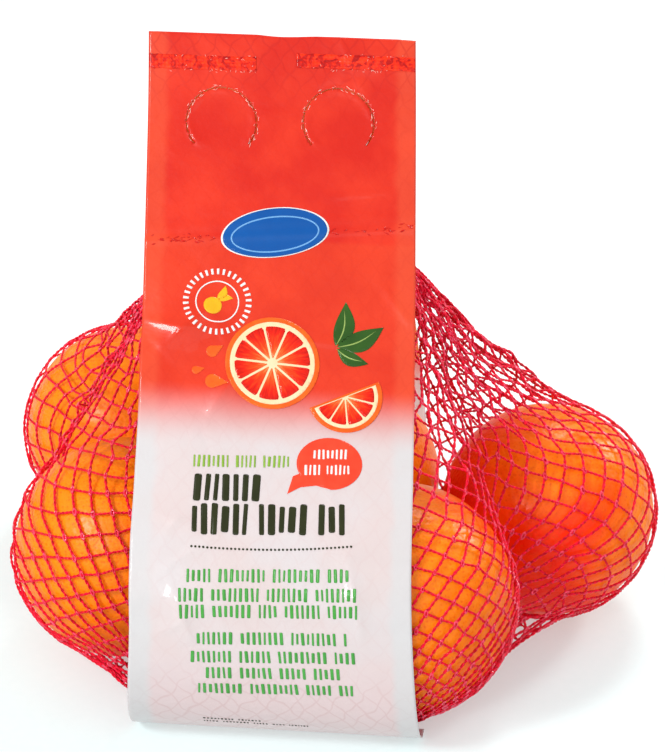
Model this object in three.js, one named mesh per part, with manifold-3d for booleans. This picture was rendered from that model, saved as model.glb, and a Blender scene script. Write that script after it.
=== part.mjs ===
// A net of oranges: a retail fruit bag with a printed film panel in front, a narrower film
// panel behind, and knitted net between them at both sides, filled with five oranges.
//
// Units are millimetres. +Z is up, the printed panel faces -Y, and the origin is on the ground
// at the middle of the whole bag. The oranges stand in one layer on the ground, the front panel
// leans back over them, and both panels run on above the weld as a flat header to carry it by.

import * as THREE from "three";
import { ConvexGeometry } from "three/addons/geometries/ConvexGeometry.js";
import { mergeVertices } from "three/addons/utils/BufferGeometryUtils.js";
import Module from "manifold-3d";

// The fruit: where each orange touches the ground, and its radius

const ORANGES = [
  { name: "back right", x: 75.7, y: 12.7, radius: 36.7 },
  { name: "front right", x: 28.5, y: -48.9, radius: 38.2 },
  { name: "back left", x: -75.2, y: 51.5, radius: 37.8 },
  { name: "front left", x: -64.8, y: -25.2, radius: 37.2 },
  { name: "middle", x: 2.2, y: 29.7, radius: 35.7 },
];
const GROUND_GAP = 1.0; // net and film between the fruit and the ground
const NET_GAP = 0.8; // the net lies this far off the peel

// The film panels

const FRONT_WIDTH = 88.2;
const BACK_WIDTH = 78.0;
const FILM = 0.6; // thickness of each film panel, drawn thicker than the real film
const GAP = 0.3; // clearance between neighbouring pieces
const FREE_EDGE = 6.0; // the front panel stands this far past the line where the net is welded on
const CENTRE_AT_GROUND = -5.3; // the panels' middle line leans slightly to the left
const CENTRE_LEAN = -12.5 / 190;
const SEAM_GAP = 1.0; // between the two panels' bottom edges
const TOP_STEP = 2.0; // the back panel's top edge lies this far below the front panel's

// Side view of the front panel, from the bottom seam round the fruit and up to the top edge
const FRONT_PROFILE = [
  [-66.3, 0], [-74.3, 2.6], [-82.3, 10.5], [-87.7, 22], [-89.4, 38], [-86.1, 56],
  [-75.4, 70.5], [-59.8, 83], [-39.8, 100], [-11.8, 128], [16.1, 160], [31.7, 179], [43.7, 196],
];
// Side view of the back panel, from the bottom seam along the ground and up to the weld
const BACK_PROFILE = [
  [-66.3, 0], [-34, 0], [5, 0], [38, 0], [55, 3.5], [66, 15], [71, 36], [67, 57], [50, 84], [26, 115],
];
const HEADER = 67; // length of the header, from the weld up to the top edge
const BACK_TURN = -0.25; // the back panel lies against the two rear oranges, so it is turned a little

// The two finger holes are only slit: three quarters of a circle, open at the bottom

const SLIT_RADIUS = 11.6;
const SLIT_WIDTH = 0.9;
const SLIT_SPACING = 38.8;
const SLIT_BELOW_TOP = 29.5;
const SLIT_SWEEP = THREE.MathUtils.degToRad(262);

// The net is welded to the panels and pulled tight over the fruit

const ROWS = 42; // from the bottom seam up to the weld
const SIDE_COLUMNS = 44; // round each side
const PANEL_COLUMNS = 6; // across each film panel
const CROSS_PULL = 0.2; // the cross threads pull less than the knitted chains
const TIGHTENING_STEPS = 2200;
const STEP_SHARE = 0.9; // how much of the way to its goal a knot moves in one step
const PEEL_GRIP = 0.3; // friction of the net on the peel
const END_SETBACK = 2.0; // the filled part stops this far from the seam and from the weld
// Slack net lies on the ground between the two right-hand oranges, like the side of a low tent
const SLACK_REACH = 19; // from the line between the two oranges out to its edge on the ground
const SLACK_HEIGHT = 26;
const SLACK_ENDS = [THREE.MathUtils.degToRad(-60), THREE.MathUtils.degToRad(40)]; // its rounded ends

const vec = (x, y, z) => new THREE.Vector3(x, y, z);
const lerp = THREE.MathUtils.lerp;
const smooth = THREE.MathUtils.smoothstep;

function centreX(z) {
  return CENTRE_AT_GROUND + CENTRE_LEAN * z;
}

function profileCurve(points) {
  const corners = points.map(([y, z]) => vec(0, y, z));
  const curve = new THREE.CatmullRomCurve3(corners, false, "centripetal");
  curve.arcLengthDivisions = 800;
  return curve;
}

// A point at a distance along a profile, moved inwards, where side +1 or -1 says which way is in
function along(curve, distance, inset, side) {
  const t = THREE.MathUtils.clamp(distance / curve.getLength(), 0, 1);
  const point = curve.getPointAt(t);
  const tangent = curve.getTangentAt(t);
  return vec(0, point.y - side * tangent.z * inset, Math.max(point.z, 0) + side * tangent.y * inset);
}

const frontCurve = profileCurve(FRONT_PROFILE);
const frontLength = frontCurve.getLength();
const weldAt = frontLength - HEADER;
const weldPoint = along(frontCurve, weldAt, 2 * FILM + GAP, -1);
const backCurve = profileCurve([...BACK_PROFILE, [weldPoint.y, weldPoint.z]]);
const backLength = backCurve.getLength();

// u runs from -1 at the left edge to 1 at the right edge
function onFront(distance, u, halfWidth, inset) {
  const p = along(frontCurve, distance, inset, -1);
  return vec(centreX(p.z) + u * halfWidth, p.y, p.z);
}

function onBack(distance, u, halfWidth, inset) {
  const p = along(backCurve, distance, inset, 1);
  const turn = BACK_TURN * smooth(p.y, -20, 50) * (1 - smooth(p.z, 50, 112));
  const turned = distance < backLength * 0.7 ? turn : BACK_TURN * (1 - smooth(p.z, 50, 112));
  return vec(centreX(p.z) + u * halfWidth, p.y + turned * u * halfWidth, p.z);
}

function geometryFrom(points, faces) {
  const geometry = new THREE.BufferGeometry();
  const numbers = points.flatMap((p) => [p.x, p.y, p.z]);
  geometry.setAttribute("position", new THREE.Float32BufferAttribute(numbers, 3));
  geometry.setIndex(faces.flat());
  geometry.computeVertexNormals();
  return geometry;
}

// A thin closed sheet between two surfaces; outer(i, j) and inner(i, j) give their points
function closedSheet(rows, columns, outer, inner) {
  const points = [];
  const faces = [];
  const at = (layer, i, j) => (layer * (rows + 1) + i) * (columns + 1) + j;
  for (const surface of [outer, inner]) {
    for (let i = 0; i <= rows; i++) {
      for (let j = 0; j <= columns; j++) points.push(surface(i, j));
    }
  }
  const quad = (a, b, c, d) => faces.push([a, b, c], [a, c, d]);
  for (let i = 0; i < rows; i++) {
    for (let j = 0; j < columns; j++) {
      quad(at(0, i, j), at(0, i, j + 1), at(0, i + 1, j + 1), at(0, i + 1, j));
      quad(at(1, i, j), at(1, i + 1, j), at(1, i + 1, j + 1), at(1, i, j + 1));
    }
    quad(at(0, i, 0), at(0, i + 1, 0), at(1, i + 1, 0), at(1, i, 0));
    quad(at(0, i, columns), at(1, i, columns), at(1, i + 1, columns), at(0, i + 1, columns));
  }
  for (let j = 0; j < columns; j++) {
    quad(at(0, 0, j), at(1, 0, j), at(1, 0, j + 1), at(0, 0, j + 1));
    quad(at(0, rows, j), at(0, rows, j + 1), at(1, rows, j + 1), at(1, rows, j));
  }
  return geometryFrom(points, faces);
}

// A knot that has moved into an orange is pushed back out to the peel, whose friction takes
// away up to PEEL_GRIP times that push from the knot's slide along the peel
function keepOut(knot, from, { centre, radius }) {
  const depth = radius - knot.distanceTo(centre);
  if (depth <= 0) return;
  const outwards = knot.clone().sub(centre).normalize();
  const slide = knot.clone().sub(from).projectOnPlane(outwards);
  const held = Math.min(slide.length(), PEEL_GRIP * depth);
  knot.sub(slide.setLength(held)).sub(centre).setLength(radius).add(centre);
}

// The net side: a grid between a front edge and a back edge, pulled tight like a net over fruit.
// Every knot moves towards the middle of its four neighbours, and is kept out of the oranges
// and off the ground.
function tightNet(frontEdge, backEdge, side) {
  const rows = frontEdge.length;
  const columns = SIDE_COLUMNS + 1;
  const knots = [];
  for (let i = 0; i < rows; i++) {
    const row = [];
    for (let j = 0; j < columns; j++) {
      const t = j / (columns - 1);
      const swell = Math.sin(Math.PI * (i / (rows - 1))) ** 0.7 * Math.sin(Math.PI * t) ** 0.8;
      const knot = frontEdge[i].clone().lerp(backEdge[i], t);
      knot.x += side * 110 * swell;
      row.push(knot);
    }
    knots.push(row);
  }
  const fruit = ORANGES.map((o) => ({
    centre: vec(o.x, o.y, o.radius + GROUND_GAP),
    radius: o.radius + NET_GAP,
  }));
  for (let step = 0; step < TIGHTENING_STEPS; step++) {
    const before = knots.map((row) => row.map((knot) => knot.clone()));
    for (let i = 1; i < rows - 1; i++) {
      for (let j = 1; j < columns - 1; j++) {
        const knot = knots[i][j];
        const goal = vec(0, 0, 0);
        goal.add(before[i - 1][j]).add(before[i + 1][j]);
        goal.addScaledVector(before[i][j - 1], CROSS_PULL).addScaledVector(before[i][j + 1], CROSS_PULL);
        knot.lerp(goal.divideScalar(2 * (1 + CROSS_PULL)), STEP_SHARE);
        for (const orange of fruit) keepOut(knot, before[i][j], orange);
        knot.z = Math.max(knot.z, 0.05);
      }
    }
  }
  return knots;
}

// The filled net: rings round the bag from the bottom seam up to the weld, closed at both ends
function filledNet() {
  const inset = FILM + GAP;
  const frontHalf = FRONT_WIDTH / 2 - FREE_EDGE;
  const backHalf = BACK_WIDTH / 2 + 0.6;
  const edges = { front: { left: [], right: [] }, back: { left: [], right: [] } };
  const frontRows = [];
  const backRows = [];
  for (let i = 0; i <= ROWS; i++) {
    const frontAt = lerp(END_SETBACK, weldAt - END_SETBACK, i / ROWS);
    const backAt = lerp(END_SETBACK, backLength - END_SETBACK, i / ROWS);
    const frontRow = [];
    const backRow = [];
    for (let j = 0; j <= PANEL_COLUMNS; j++) {
      const u = (2 * j) / PANEL_COLUMNS - 1;
      frontRow.push(onFront(frontAt, u, frontHalf, inset));
      backRow.push(onBack(backAt, -u, backHalf, inset));
    }
    frontRows.push(frontRow);
    backRows.push(backRow);
    edges.front.left.push(frontRow[0]);
    edges.front.right.push(frontRow[PANEL_COLUMNS]);
    edges.back.right.push(backRow[0]);
    edges.back.left.push(backRow[PANEL_COLUMNS]);
  }
  const rightNet = tightNet(edges.front.right, edges.back.right, 1);
  const leftNet = tightNet(edges.front.left, edges.back.left, -1);
  const points = [];
  let around = 0;
  for (let i = 0; i <= ROWS; i++) {
    const ring = [
      ...frontRows[i],
      ...rightNet[i].slice(1, -1),
      ...backRows[i],
      ...leftNet[i].slice(1, -1).reverse(),
    ];
    around = ring.length;
    points.push(...ring);
  }
  const faces = [];
  for (let i = 0; i < ROWS; i++) {
    for (let k = 0; k < around; k++) {
      const a = i * around + k;
      const b = i * around + ((k + 1) % around);
      faces.push([a, b, b + around], [a, b + around, a + around]);
    }
  }
  for (const [row, turn] of [[0, -1], [ROWS, 1]]) {
    const ring = points.slice(row * around, (row + 1) * around);
    const middle = ring.reduce((sum, p) => sum.add(p), vec(0, 0, 0)).divideScalar(around);
    points.push(middle);
    for (let k = 0; k < around; k++) {
      const pair = [row * around + k, row * around + ((k + 1) % around)];
      if (turn < 0) pair.reverse();
      faces.push([...pair, points.length - 1]);
    }
  }
  return geometryFrom(points, faces);
}

// Joining and cutting is done on closed solids
const wasm = await Module();
wasm.setup();

function toSolid(geometry) {
  const plain = geometry.clone();
  plain.deleteAttribute("normal");
  plain.deleteAttribute("uv");
  const merged = mergeVertices(plain, 1e-5);
  const vertProperties = Float32Array.from(merged.attributes.position.array);
  const triVerts = Uint32Array.from(merged.index.array);
  return new wasm.Manifold(new wasm.Mesh({ numProp: 3, vertProperties, triVerts }));
}

function fromSolid(solid) {
  const mesh = solid.getMesh();
  const geometry = new THREE.BufferGeometry();
  geometry.setAttribute("position", new THREE.Float32BufferAttribute(mesh.vertProperties, 3));
  geometry.setIndex(Array.from(mesh.triVerts));
  geometry.computeVertexNormals();
  return geometry;
}

// The slack fold: a low wedge along the two right-hand oranges, joined to the filled net
function slackFold() {
  const [back, front] = ORANGES;
  const along = vec(front.x - back.x, front.y - back.y, 0).normalize();
  const outwards = vec(-along.y, along.x, 0);
  const lowest = FILM + GAP + 0.1;
  const corners = [];
  [back, front].forEach((orange, end) => {
    const middle = vec(orange.x, orange.y, 0);
    const at = (reach, angle, z) => {
      const corner = middle.clone().addScaledVector(outwards, reach * Math.cos(angle));
      corners.push(corner.addScaledVector(along, reach * Math.sin(angle)).setZ(z));
    };
    at(0, 0, lowest);
    at(0, 0, SLACK_HEIGHT);
    for (let k = 0; k <= 4; k++) {
      const angle = (SLACK_ENDS[end] * k) / 4;
      at(SLACK_REACH, angle, lowest);
      at(SLACK_REACH, angle, 2);
      at(0.62 * SLACK_REACH, angle, 12);
      at(0.3 * SLACK_REACH, angle, SLACK_HEIGHT);
    }
  });
  return new ConvexGeometry(corners);
}

function netWithFold() {
  return fromSolid(toSolid(filledNet()).add(toSolid(slackFold())));
}

// The cutter of one finger slit: an open ring, pushed straight through both panels
function slitCutter(side) {
  const centre = onFront(frontLength - SLIT_BELOW_TOP, (side * SLIT_SPACING) / FRONT_WIDTH, FRONT_WIDTH / 2, 0);
  const tangent = frontCurve.getTangentAt(1 - SLIT_BELOW_TOP / frontLength);
  const start = Math.PI / 2 - SLIT_SWEEP / 2;
  const end = Math.PI / 2 + SLIT_SWEEP / 2;
  const outline = new THREE.Shape();
  outline.absarc(0, 0, SLIT_RADIUS + SLIT_WIDTH / 2, start, end, false);
  outline.absarc(0, 0, SLIT_RADIUS - SLIT_WIDTH / 2, end, start, true);
  const depth = 14;
  const cutter = new THREE.ExtrudeGeometry(outline, { depth, bevelEnabled: false, curveSegments: 20 });
  cutter.translate(0, 0, -depth / 2);
  const across = vec(1, 0, 0);
  const upwards = vec(0, tangent.y, tangent.z);
  const outwards = vec(0, 0, 0).crossVectors(across, upwards);
  cutter.applyMatrix4(new THREE.Matrix4().makeBasis(across, upwards, outwards).setPosition(centre));
  return cutter;
}

function cutSlits(geometry) {
  let solid = toSolid(geometry);
  for (const side of [-1, 1]) solid = solid.subtract(toSolid(slitCutter(side)));
  return fromSolid(solid);
}

function frontPanel() {
  const rows = 56;
  const at = (i) => lerp(SEAM_GAP / 2, frontLength, i / rows);
  const half = FRONT_WIDTH / 2;
  return cutSlits(closedSheet(
    rows,
    2,
    (i, j) => onFront(at(i), j - 1, half, 0),
    (i, j) => onFront(at(i), j - 1, half, FILM),
  ));
}

// The back panel follows its own profile up to the weld, then lies against the front panel
function backPanel() {
  const lowerRows = 52;
  const headerRows = 12;
  const half = BACK_WIDTH / 2;
  const rowPoint = (i, u, depth) => {
    if (i < lowerRows) return onBack(lerp(SEAM_GAP / 2, backLength - 1, i / lowerRows), u, half, depth);
    const distance = lerp(weldAt + 1, frontLength - TOP_STEP, (i - lowerRows) / headerRows);
    return onFront(distance, u, half, 2 * FILM + GAP - depth);
  };
  return cutSlits(closedSheet(
    lowerRows + headerRows,
    2,
    (i, j) => rowPoint(i, 1 - j, 0),
    (i, j) => rowPoint(i, 1 - j, FILM),
  ));
}

function named(name, geometry, material) {
  const mesh = new THREE.Mesh(geometry, material);
  mesh.name = name;
  return mesh;
}

const netted = new THREE.MeshStandardMaterial({ color: 0xe85a14, roughness: 0.55, metalness: 0 });
const printed = new THREE.MeshStandardMaterial({ color: 0xee4a33, roughness: 0.35, metalness: 0 });
const plain = new THREE.MeshStandardMaterial({ color: 0xe6dedb, roughness: 0.4, metalness: 0 });

const bag = new THREE.Group();
bag.add(named("filled_net", netWithFold(), netted));
bag.add(named("front_film", frontPanel(), printed));
bag.add(named("back_film", backPanel(), plain));

export default bag;
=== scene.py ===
# %% [markdown]
# # A net of oranges
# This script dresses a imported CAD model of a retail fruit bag. The real bag is a tube of two
# printed films, front and back, with a knitted net between them at both sides. Five oranges
# stand on the ground inside it, and above a weld the films run on as a flat header.
# The CAD model gives the sizes and the place, and this script makes what the eye sees: peel,
# knitted filament, wrinkled film and print.

# %% The frame
import math

import bmesh
import bpy
import numpy as np
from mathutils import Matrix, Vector


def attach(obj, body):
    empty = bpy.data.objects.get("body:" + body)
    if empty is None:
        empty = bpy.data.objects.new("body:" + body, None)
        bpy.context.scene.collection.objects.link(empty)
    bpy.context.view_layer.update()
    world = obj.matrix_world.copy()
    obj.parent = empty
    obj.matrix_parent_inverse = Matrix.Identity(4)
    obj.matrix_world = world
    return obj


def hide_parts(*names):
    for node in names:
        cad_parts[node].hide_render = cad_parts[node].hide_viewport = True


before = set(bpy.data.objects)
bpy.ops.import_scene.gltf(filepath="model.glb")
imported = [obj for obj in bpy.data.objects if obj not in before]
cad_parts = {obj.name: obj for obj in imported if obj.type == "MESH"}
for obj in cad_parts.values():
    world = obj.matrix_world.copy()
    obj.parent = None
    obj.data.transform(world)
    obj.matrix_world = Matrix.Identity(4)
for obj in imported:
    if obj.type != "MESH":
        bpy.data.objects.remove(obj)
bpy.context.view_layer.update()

# %% [markdown]
# ## Small helpers
# Sizes are written in millimetres, as on the real bag, and become metres where a mesh is made.
# Colours are written as the sRGB hex values that a colour picker shows. One function adds a node
# with its settings and links, for shaders and for Geometry Nodes alike.

# %% Helpers
MM = 0.001
SEED = 7


def linear(hex_colour):
    """An sRGB hex colour as the linear RGBA that shaders take."""
    channels = [int(hex_colour[k:k + 2], 16) / 255 for k in (1, 3, 5)]
    return [c / 12.92 if c <= 0.04045 else ((c + 0.055) / 1.055) ** 2.4 for c in channels] + [1.0]


def add_node(tree, kind, *values, stops=(), **settings):
    """Adds a node with its settings, and gives its sockets their values or links.

    Values fill the sockets in use in their order, and a dictionary names them. A value is a plain
    one, a hex colour, another node, whose first output in use is taken, or a socket. Stops are the
    places and hex colours of a colour ramp.
    """
    node = tree.nodes.new(kind)
    for name, value in settings.items():
        setattr(node, name, value)
    if stops:
        elements = node.color_ramp.elements
        for end in (0, -1):
            elements[end].position = stops[end][0]
            elements[end].color = linear(stops[end][1])
        for place, tint in stops[1:-1]:
            elements.new(place).color = linear(tint)
    in_use = [socket for socket in node.inputs if socket.enabled]
    pairs = []
    for index, value in enumerate(values):
        if isinstance(value, dict):
            pairs += [(node.inputs[name], named) for name, named in value.items()]
        else:
            pairs.append((in_use[index], value))
    for socket, value in pairs:
        if isinstance(value, bpy.types.Node):
            value = next(output for output in value.outputs if output.enabled)
        if isinstance(value, bpy.types.NodeSocket):
            tree.links.new(value, socket)
        else:
            is_colour = isinstance(value, str) and value.startswith("#")
            socket.default_value = linear(value) if is_colour else value
    return node


def start_material(name, **shader):
    """A material with its Principled shader; underscores in a socket's name stand for spaces."""
    material = bpy.data.materials.new(name)
    material.use_nodes = True
    surface = material.node_tree.nodes["Principled BSDF"]
    for socket, value in shader.items():
        surface.inputs[socket.replace("_", " ")].default_value = value
    return material, material.node_tree, surface


def mesh_object(name, points, faces, material=None, edges=(), smooth=True):
    """An object at the origin from points in millimetres."""
    mesh = bpy.data.meshes.new(name)
    mesh.from_pydata((np.asarray(points, float) * MM).tolist(), edges, faces)
    if smooth:
        mesh.shade_smooth()
    if material:
        mesh.materials.append(material)
    made = bpy.data.objects.new(name, mesh)
    bpy.context.scene.collection.objects.link(made)
    return made


def smoothstep(values, low, high):
    t = np.clip((np.asarray(values, float) - low) / (high - low), 0, 1)
    return t * t * (3 - 2 * t)


def unit(vectors):
    return vectors / np.maximum(np.linalg.norm(vectors, axis=-1, keepdims=True), 1e-9)


def between(grid, rows, columns):
    """Points of a grid at fractional rows and columns, straight between its own points."""
    j = np.clip(np.asarray(rows).astype(int), 0, grid.shape[0] - 2)
    i = np.clip(np.asarray(columns).astype(int), 0, grid.shape[1] - 2)
    fj, fi = (rows - j)[..., None], (columns - i)[..., None]
    near = grid[j, i] * (1 - fi) + grid[j, i + 1] * fi
    far = grid[j + 1, i] * (1 - fi) + grid[j + 1, i + 1] * fi
    return near * (1 - fj) + far * fj


def triangles(piece):
    piece.data.calc_loop_triangles()
    return len(piece.data.loop_triangles)


# %% [markdown]
# ## Camera, ground and light
# The photograph looks down on the bag at about 29 degrees, from just right of its middle, with a
# long lens. Four soft lights stand round the bag, and their reflections show as pale patches on
# the peel. A fifth, small one stands in front at the left, where the film mirrors it as glare.

# %% Camera
CAMERA_AZIMUTH = math.radians(5.3)
CAMERA_ELEVATION = math.radians(29)
CAMERA_TARGET = Vector((-9.6, 131.7, 20)) * MM
CAMERA_DISTANCE = 1.0
FOCAL_PIXELS = 2555  # found from the outlines of the oranges, for the photograph's 752 pixels
PHOTO_HEIGHT = 752
SENSOR_WIDTH = 36

towards_camera = Vector((
    math.sin(CAMERA_AZIMUTH) * math.cos(CAMERA_ELEVATION),
    -math.cos(CAMERA_AZIMUTH) * math.cos(CAMERA_ELEVATION),
    math.sin(CAMERA_ELEVATION),
))
camera_data = bpy.data.cameras.new("camera")
camera_data.sensor_width = SENSOR_WIDTH
camera_data.lens = FOCAL_PIXELS * SENSOR_WIDTH / PHOTO_HEIGHT
camera = bpy.data.objects.new("camera", camera_data)
camera.location = CAMERA_TARGET + towards_camera * CAMERA_DISTANCE
camera.rotation_euler = towards_camera.to_track_quat("Z", "Y").to_euler()
bpy.context.scene.collection.objects.link(camera)
bpy.context.scene.camera = camera
bpy.context.scene.view_settings.view_transform = "Standard"
print("camera lens", round(camera_data.lens, 1), "mm")

# %% Soft lights
LIGHT_AIM = Vector((0, 0, 0.06))
WORLD_STRENGTH = 0.62
# name, place in metres, side in metres and power in watts
LIGHTS = [
    ("softbox_left", (-0.62, -0.55, 0.72), 0.24, 6.2),
    ("softbox_fill", (0.40, -0.75, 0.60), 0.90, 1.8),
    ("softbox_right", (0.75, 0.60, 0.52), 0.20, 4.0),
    ("softbox_catch", (-0.33, -0.89, 0.64), 0.16, 2.0),
    ("softbox_top", (0.20, 0.62, 0.90), 0.30, 5.5),
]
for name, place, side, power in LIGHTS:
    light = bpy.data.lights.new(name, "AREA")
    light.shape = "SQUARE"
    light.size = side
    light.energy = power
    lamp = bpy.data.objects.new(name, light)
    lamp.location = place
    lamp.rotation_euler = (Vector(place) - LIGHT_AIM).to_track_quat("Z", "Y").to_euler()
    bpy.context.scene.collection.objects.link(lamp)

world = bpy.data.worlds.new("studio")
world.use_nodes = True
sky = world.node_tree.nodes["Background"].inputs
sky["Color"].default_value = linear("#FFFFFF")
sky["Strength"].default_value = WORLD_STRENGTH
bpy.context.scene.world = world
print(len(LIGHTS), "soft lights")

# %% [markdown]
# ## The ground
# The bag lies on a white light table, which glows a little from below and so keeps the shadows
# pale. One large flat square does for it, with a faint grain that is too fine to distract.

# %% Light table
GROUND_REACH = 3000
paper, tree, surface = start_material(
    "white light table", Roughness=0.9, Emission_Color=(1, 1, 1, 1), Emission_Strength=0.42)
position = add_node(tree, "ShaderNodeTexCoord").outputs["Object"]
grain = add_node(tree, "ShaderNodeTexNoise", {"Vector": position, "Scale": 300})
tone = add_node(tree, "ShaderNodeMix", grain, "#ACC1C1", "#B2C5C5", data_type="RGBA")
tree.links.new(tone.outputs[2], surface.inputs["Base Color"])
ground_corners = [(x * GROUND_REACH, y * GROUND_REACH, 0) for x, y in ((-1, -1), (1, -1), (1, 1), (-1, 1))]
ground = mesh_object("ground", ground_corners, [(0, 1, 2, 3)], paper, smooth=False)
print("ground", 2 * GROUND_REACH * MM, "m wide")

# %% [markdown]
# ## The bag's shape
# These driving sizes repeat those of the CAD source. Each film is a strip that follows a side
# view, so a point on it needs only two numbers: how far it lies from the middle line, and how far
# along the strip. A smooth curve runs through a few points of each side view.

# %% Driving sizes
# name, x and y of the point on the ground, radius
ORANGES = [
    ("back_right", 75.7, 12.7, 36.7),
    ("front_right", 28.5, -48.9, 38.2),
    ("back_left", -75.2, 51.5, 37.8),
    ("front_left", -64.8, -25.2, 37.2),
    ("middle", 2.2, 29.7, 35.7),
]
GROUND_GAP = 1.0  # net and film between the fruit and the ground
NET_GAP = 0.8  # from the peel to the net
FRONT_WIDTH = 88.2
BACK_WIDTH = 78.0
FILM = 0.6  # the CAD film; the real film is far thinner
GAP = 0.3  # between neighbouring pieces
FREE_EDGE = 6.0  # the front film stands this far past the line where the net is welded on
FRONT_PROFILE = [
    (-66.3, 0), (-74.3, 2.6), (-82.3, 10.5), (-87.7, 22), (-89.4, 38), (-86.1, 56),
    (-75.4, 70.5), (-59.8, 83), (-39.8, 100), (-11.8, 128), (16.1, 160), (31.7, 179), (43.7, 196),
]
BACK_PROFILE = [
    (-66.3, 0), (-34, 0), (5, 0), (38, 0), (55, 3.5), (66, 15), (71, 36), (67, 57), (50, 84), (26, 115),
]
HEADER = 67.0  # from the weld up to the top edge
BACK_TURN = -0.25  # the back film lies against the two rear oranges
TOP_STEP = 2.0  # the back film's top edge lies this far below the front film's
CENTRE_AT_GROUND = -5.3  # the films' middle line leans slightly to the left as it rises
CENTRE_LEAN = 12.5 / 190
TURN_GROWS = (-20, 50)  # over these y the back film starts its turn, along the ground
TURN_FADES = (50, 112)  # and over these heights it loses it again
PROFILE_POINTS = 1600
SPAN_POINTS = 60  # between two corners of a side view

# %% Side views


def smooth_path(corners, count):
    """Points at even distances on a centripetal curve through the corners, and its length."""
    corners = np.asarray(corners, float)
    padded = np.vstack([2 * corners[0] - corners[1], corners, 2 * corners[-1] - corners[-2]])
    path = []
    for p0, p1, p2, p3 in zip(padded, padded[1:], padded[2:], padded[3:]):
        t1 = np.linalg.norm(p1 - p0) ** 0.5
        t2 = t1 + np.linalg.norm(p2 - p1) ** 0.5
        t3 = t2 + np.linalg.norm(p3 - p2) ** 0.5
        t = np.linspace(t1, t2, SPAN_POINTS, endpoint=False)[:, None]
        a1 = (t1 - t) / t1 * p0 + t / t1 * p1
        a2 = (t2 - t) / (t2 - t1) * p1 + (t - t1) / (t2 - t1) * p2
        a3 = (t3 - t) / (t3 - t2) * p2 + (t - t2) / (t3 - t2) * p3
        b1 = (t2 - t) / t2 * a1 + t / t2 * a2
        b2 = (t3 - t) / (t3 - t1) * a2 + (t - t1) / (t3 - t1) * a3
        path.append((t2 - t) / (t2 - t1) * b1 + (t - t1) / (t2 - t1) * b2)
    path = np.vstack(path + [corners[-1:]])
    reach = np.concatenate([[0], np.cumsum(np.linalg.norm(np.diff(path, axis=0), axis=1))])
    even = np.linspace(0, reach[-1], count)
    return np.stack([np.interp(even, reach, path[:, k]) for k in (0, 1)], -1), reach[-1]


class Profile:
    """The side view of a film: its point and its inward direction at a distance along it."""

    def __init__(self, corners, inward):
        self.path, self.length = smooth_path(corners, PROFILE_POINTS)
        self.path[:, 1] = np.maximum(self.path[:, 1], 0)
        self.reach = np.linspace(0, self.length, len(self.path))
        self.inward = inward

    def at(self, distance, inset=0.0):
        y, z = (np.interp(distance, self.reach, self.path[:, k]) for k in (0, 1))
        dy, dz = (np.interp(distance, self.reach, np.gradient(self.path[:, k])) for k in (0, 1))
        size = np.hypot(dy, dz)
        return y - self.inward * inset * dz / size, z + self.inward * inset * dy / size


def centre_x(z):
    """The x of the films' middle line at a height."""
    return CENTRE_AT_GROUND - CENTRE_LEAN * z


front_profile = Profile(FRONT_PROFILE, -1)
front_length = front_profile.length
weld_at = front_length - HEADER
weld_point = front_profile.at(weld_at, 2 * FILM + GAP)
back_profile = Profile(BACK_PROFILE + [weld_point], 1)


def on_front(distance, x, inset=0.0):
    """A point of the front film; x is measured from the middle line, in millimetres."""
    y, z = front_profile.at(distance, inset)
    return np.stack(np.broadcast_arrays(centre_x(z) + x, y, z), -1)


def on_back(distance, x, inset=0.0):
    """A point of the back film below the weld, turned a little to lie against the rear fruit."""
    y, z = back_profile.at(distance, inset)
    rising = np.asarray(distance) > 0.7 * back_profile.length
    turn = BACK_TURN * np.where(rising, 1, smoothstep(y, *TURN_GROWS)) * (1 - smoothstep(z, *TURN_FADES))
    return np.stack(np.broadcast_arrays(centre_x(z) + x, y + turn * x, z), -1)


print("front film", round(front_length), "mm long, back film", round(back_profile.length))

# %% [markdown]
# ## Pulling the net tight
# A knitted net could be a cloth simulation, but its knots are few and its shape is set by one
# thing: every knot is pulled by four threads, and the fruit holds it out. So the knots start on a
# wide balloon and each moves, step by step, to the middle of its neighbours. The knitted chains,
# which run up and down, pull harder than the cross threads. Friction on the peel keeps the
# chains spread.

# %% The knots of both net sides
CHAINS = 45
ROWS = 43
CROSS_PULL = 0.2  # the cross threads pull less than the chains
STEPS = 2200
STEP_SHARE = 0.9  # how much of the way to its goal a knot moves in one step
PEEL_GRIP = 0.3  # friction
BALLOON = 110  # how far out the knots start
SEAM_SETBACK = 2  # the net starts and ends this far from the bottom seam and the weld
NET_TOP = {"right": 6.0, "left": 16.0}  # how far below the weld the drawn net leaves the films
NET_FLOOR = 0.05
FRUIT = [(np.array([x, y, r + GROUND_GAP]), r) for _, x, y, r in ORANGES]


def keep_off_fruit(knots, before=None, gap=NET_GAP):
    """Pushes knots out of the oranges; what they slide along the peel is held by friction."""
    for centre, radius in FRUIT:
        spoke = knots - centre
        distance = np.linalg.norm(spoke, axis=-1)
        inside = distance < radius + gap
        if not inside.any():
            continue
        outwards = spoke[inside] / distance[inside][:, None]
        point = knots[inside]
        if before is not None:
            slide = point - before[inside]
            slide = slide - (slide * outwards).sum(-1, keepdims=True) * outwards
            length = np.linalg.norm(slide, axis=-1)
            held = np.minimum(length, PEEL_GRIP * (radius + gap - distance[inside]))
            point = point - slide * (held / np.maximum(length, 1e-9))[:, None]
        knots[inside] = centre + unit(point - centre) * (radius + gap)
    return knots


def balloon(front_edge, back_edge, side):
    """The first place of the knots of one net side, as rows by chains by xyz."""
    up = np.linspace(0, 1, ROWS)[:, None, None]
    across = np.linspace(0, 1, CHAINS)[None, :, None]
    knots = front_edge[:, None] * (1 - across) + back_edge[:, None] * across
    knots[..., :1] += side * BALLOON * np.sin(math.pi * up) ** 0.7 * np.sin(math.pi * across) ** 0.8
    return knots


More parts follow.
